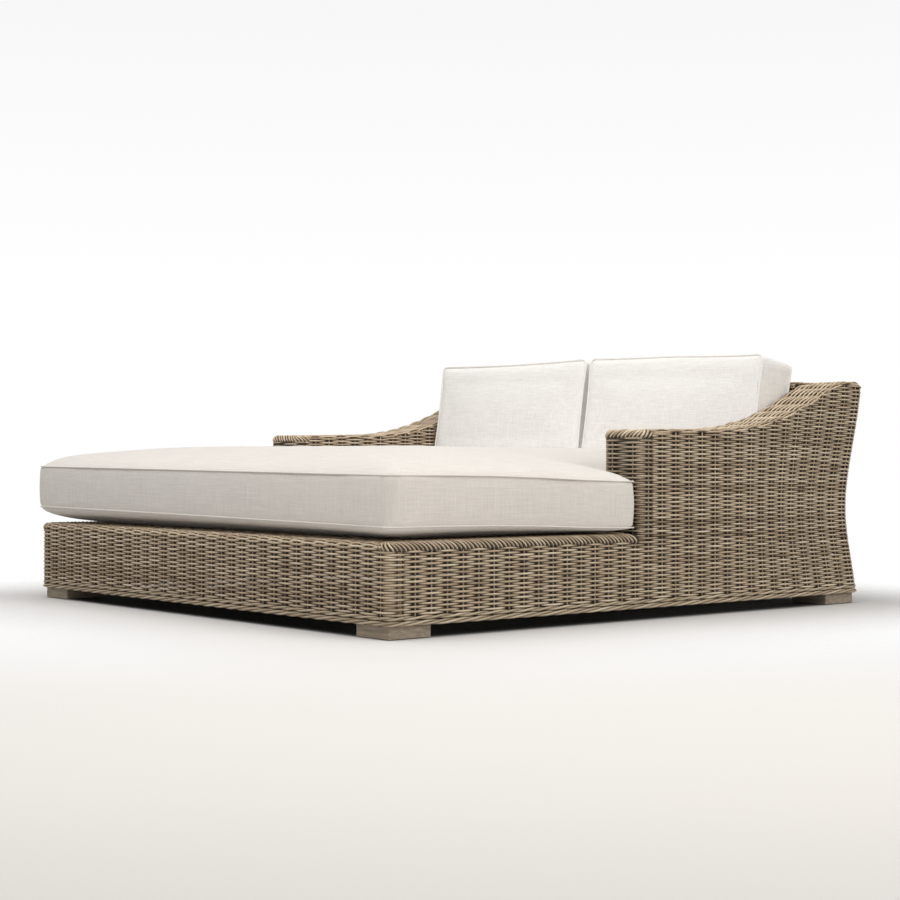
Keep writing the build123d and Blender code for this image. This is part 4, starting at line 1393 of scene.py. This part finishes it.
def lay_floor():
    """A pale floor: a little darker near the camera, with a painted shadow under the body, faded out far
    away, and clear from below.
    """
    mesh = bpy.data.meshes.new("floor")
    reach = 30.0
    corners = [(-reach, -reach, 0), (reach, -reach, 0), (reach, reach, 0), (-reach, reach, 0)]
    mesh.from_pydata(corners, [], [(0, 1, 2, 3)])
    floor = add_object("floor", mesh)
    material, tree = new_tree("studio_floor")
    place = object_place(tree)
    x, y = split(tree, place)[:2]
    near = sums(tree, "SUBTRACT", times(tree, x, 0.76), times(tree, y, 0.65))
    share = spread(tree, near, 0.8, 3.2, 0.0, 1.0)
    colour = mix_colour(tree, share, (0.72, 0.705, 0.685, 1), (0.88, 0.845, 0.80, 1))
    past_x = sums(tree, "SUBTRACT", sums(tree, "ABSOLUTE", x), half_width - 0.03)
    past_y = sums(tree, "SUBTRACT", sums(tree, "ABSOLUTE", y), -foot_end - 0.03)
    past = sums(tree, "MAXIMUM", past_x, past_y)
    # A painted shadow on the floor under the body
    under = spread(tree, past, -0.02, 0.02, 0.82, 0.0)
    colour = mix_colour(tree, under, colour, (0.02, 0.02, 0.02, 1))
    fade = spread(tree, past, 0.05, 0.85, 0.0, 1.0, "SMOOTHSTEP")
    behind = spread(tree, near, 1.0, 2.3, 1.0, 0.0)
    solid = sums(tree, "SUBTRACT", 1.0, times(tree, fade, behind))
    far = add_node(tree, "ShaderNodeVectorMath", {0: place}, operation="LENGTH").outputs["Value"]
    edge = spread(tree, far, 3.8, 5.2, 1.0, 0.0)
    below = add_node(tree, "ShaderNodeNewGeometry").outputs["Backfacing"]
    solid = times(tree, solid, times(tree, edge, sums(tree, "SUBTRACT", 1.0, below)))
    finish_material(tree, colour, 0.85, None, Alpha=solid, **{"Specular IOR Level": 0.1})
    mesh.materials.append(material)


def area_light(name, place, target, size, power, colour=(1, 1, 1)):
    light = bpy.data.lights.new(name, "AREA")
    light.shape = "RECTANGLE"
    light.size = size
    light.size_y = size
    light.energy = power
    light.color = colour
    lamp = add_object(name, light)
    lamp.location = place
    lamp.rotation_euler = (Vector(target) - Vector(place)).to_track_quat("-Z", "Y").to_euler()


def light_studio():
    """A white room that lights less than it shows, a wide box overhead and a softer one from the right."""
    world = bpy.data.worlds.new("studio")
    bpy.context.scene.world = world
    world.use_nodes = True
    tree = world.node_tree
    seen = add_node(tree, "ShaderNodeLightPath").outputs["Is Camera Ray"]
    way = add_node(tree, "ShaderNodeTexCoord").outputs["Generated"]
    shown = spread(tree, split(tree, way)[2], 0.1, 0.25, 1.0, 0.935)
    strength = sums(tree, "MULTIPLY_ADD", seen, sums(tree, "SUBTRACT", shown, room_light), room_light)
    tree.nodes["Background"].inputs[0].default_value = (1.0, 1.0, 1.0, 1)
    tree.links.new(strength, tree.nodes["Background"].inputs[1])
    area_light("overhead", overhead_place, (0, -0.1, 0), overhead_size, overhead_power)
    area_light("key", key_place, (0.3, 0, 0.3), key_size, key_power, (1.0, 0.98, 0.95))
    bpy.context.scene.view_settings.view_transform = "Standard"


place_camera()
lay_floor()
light_studio()
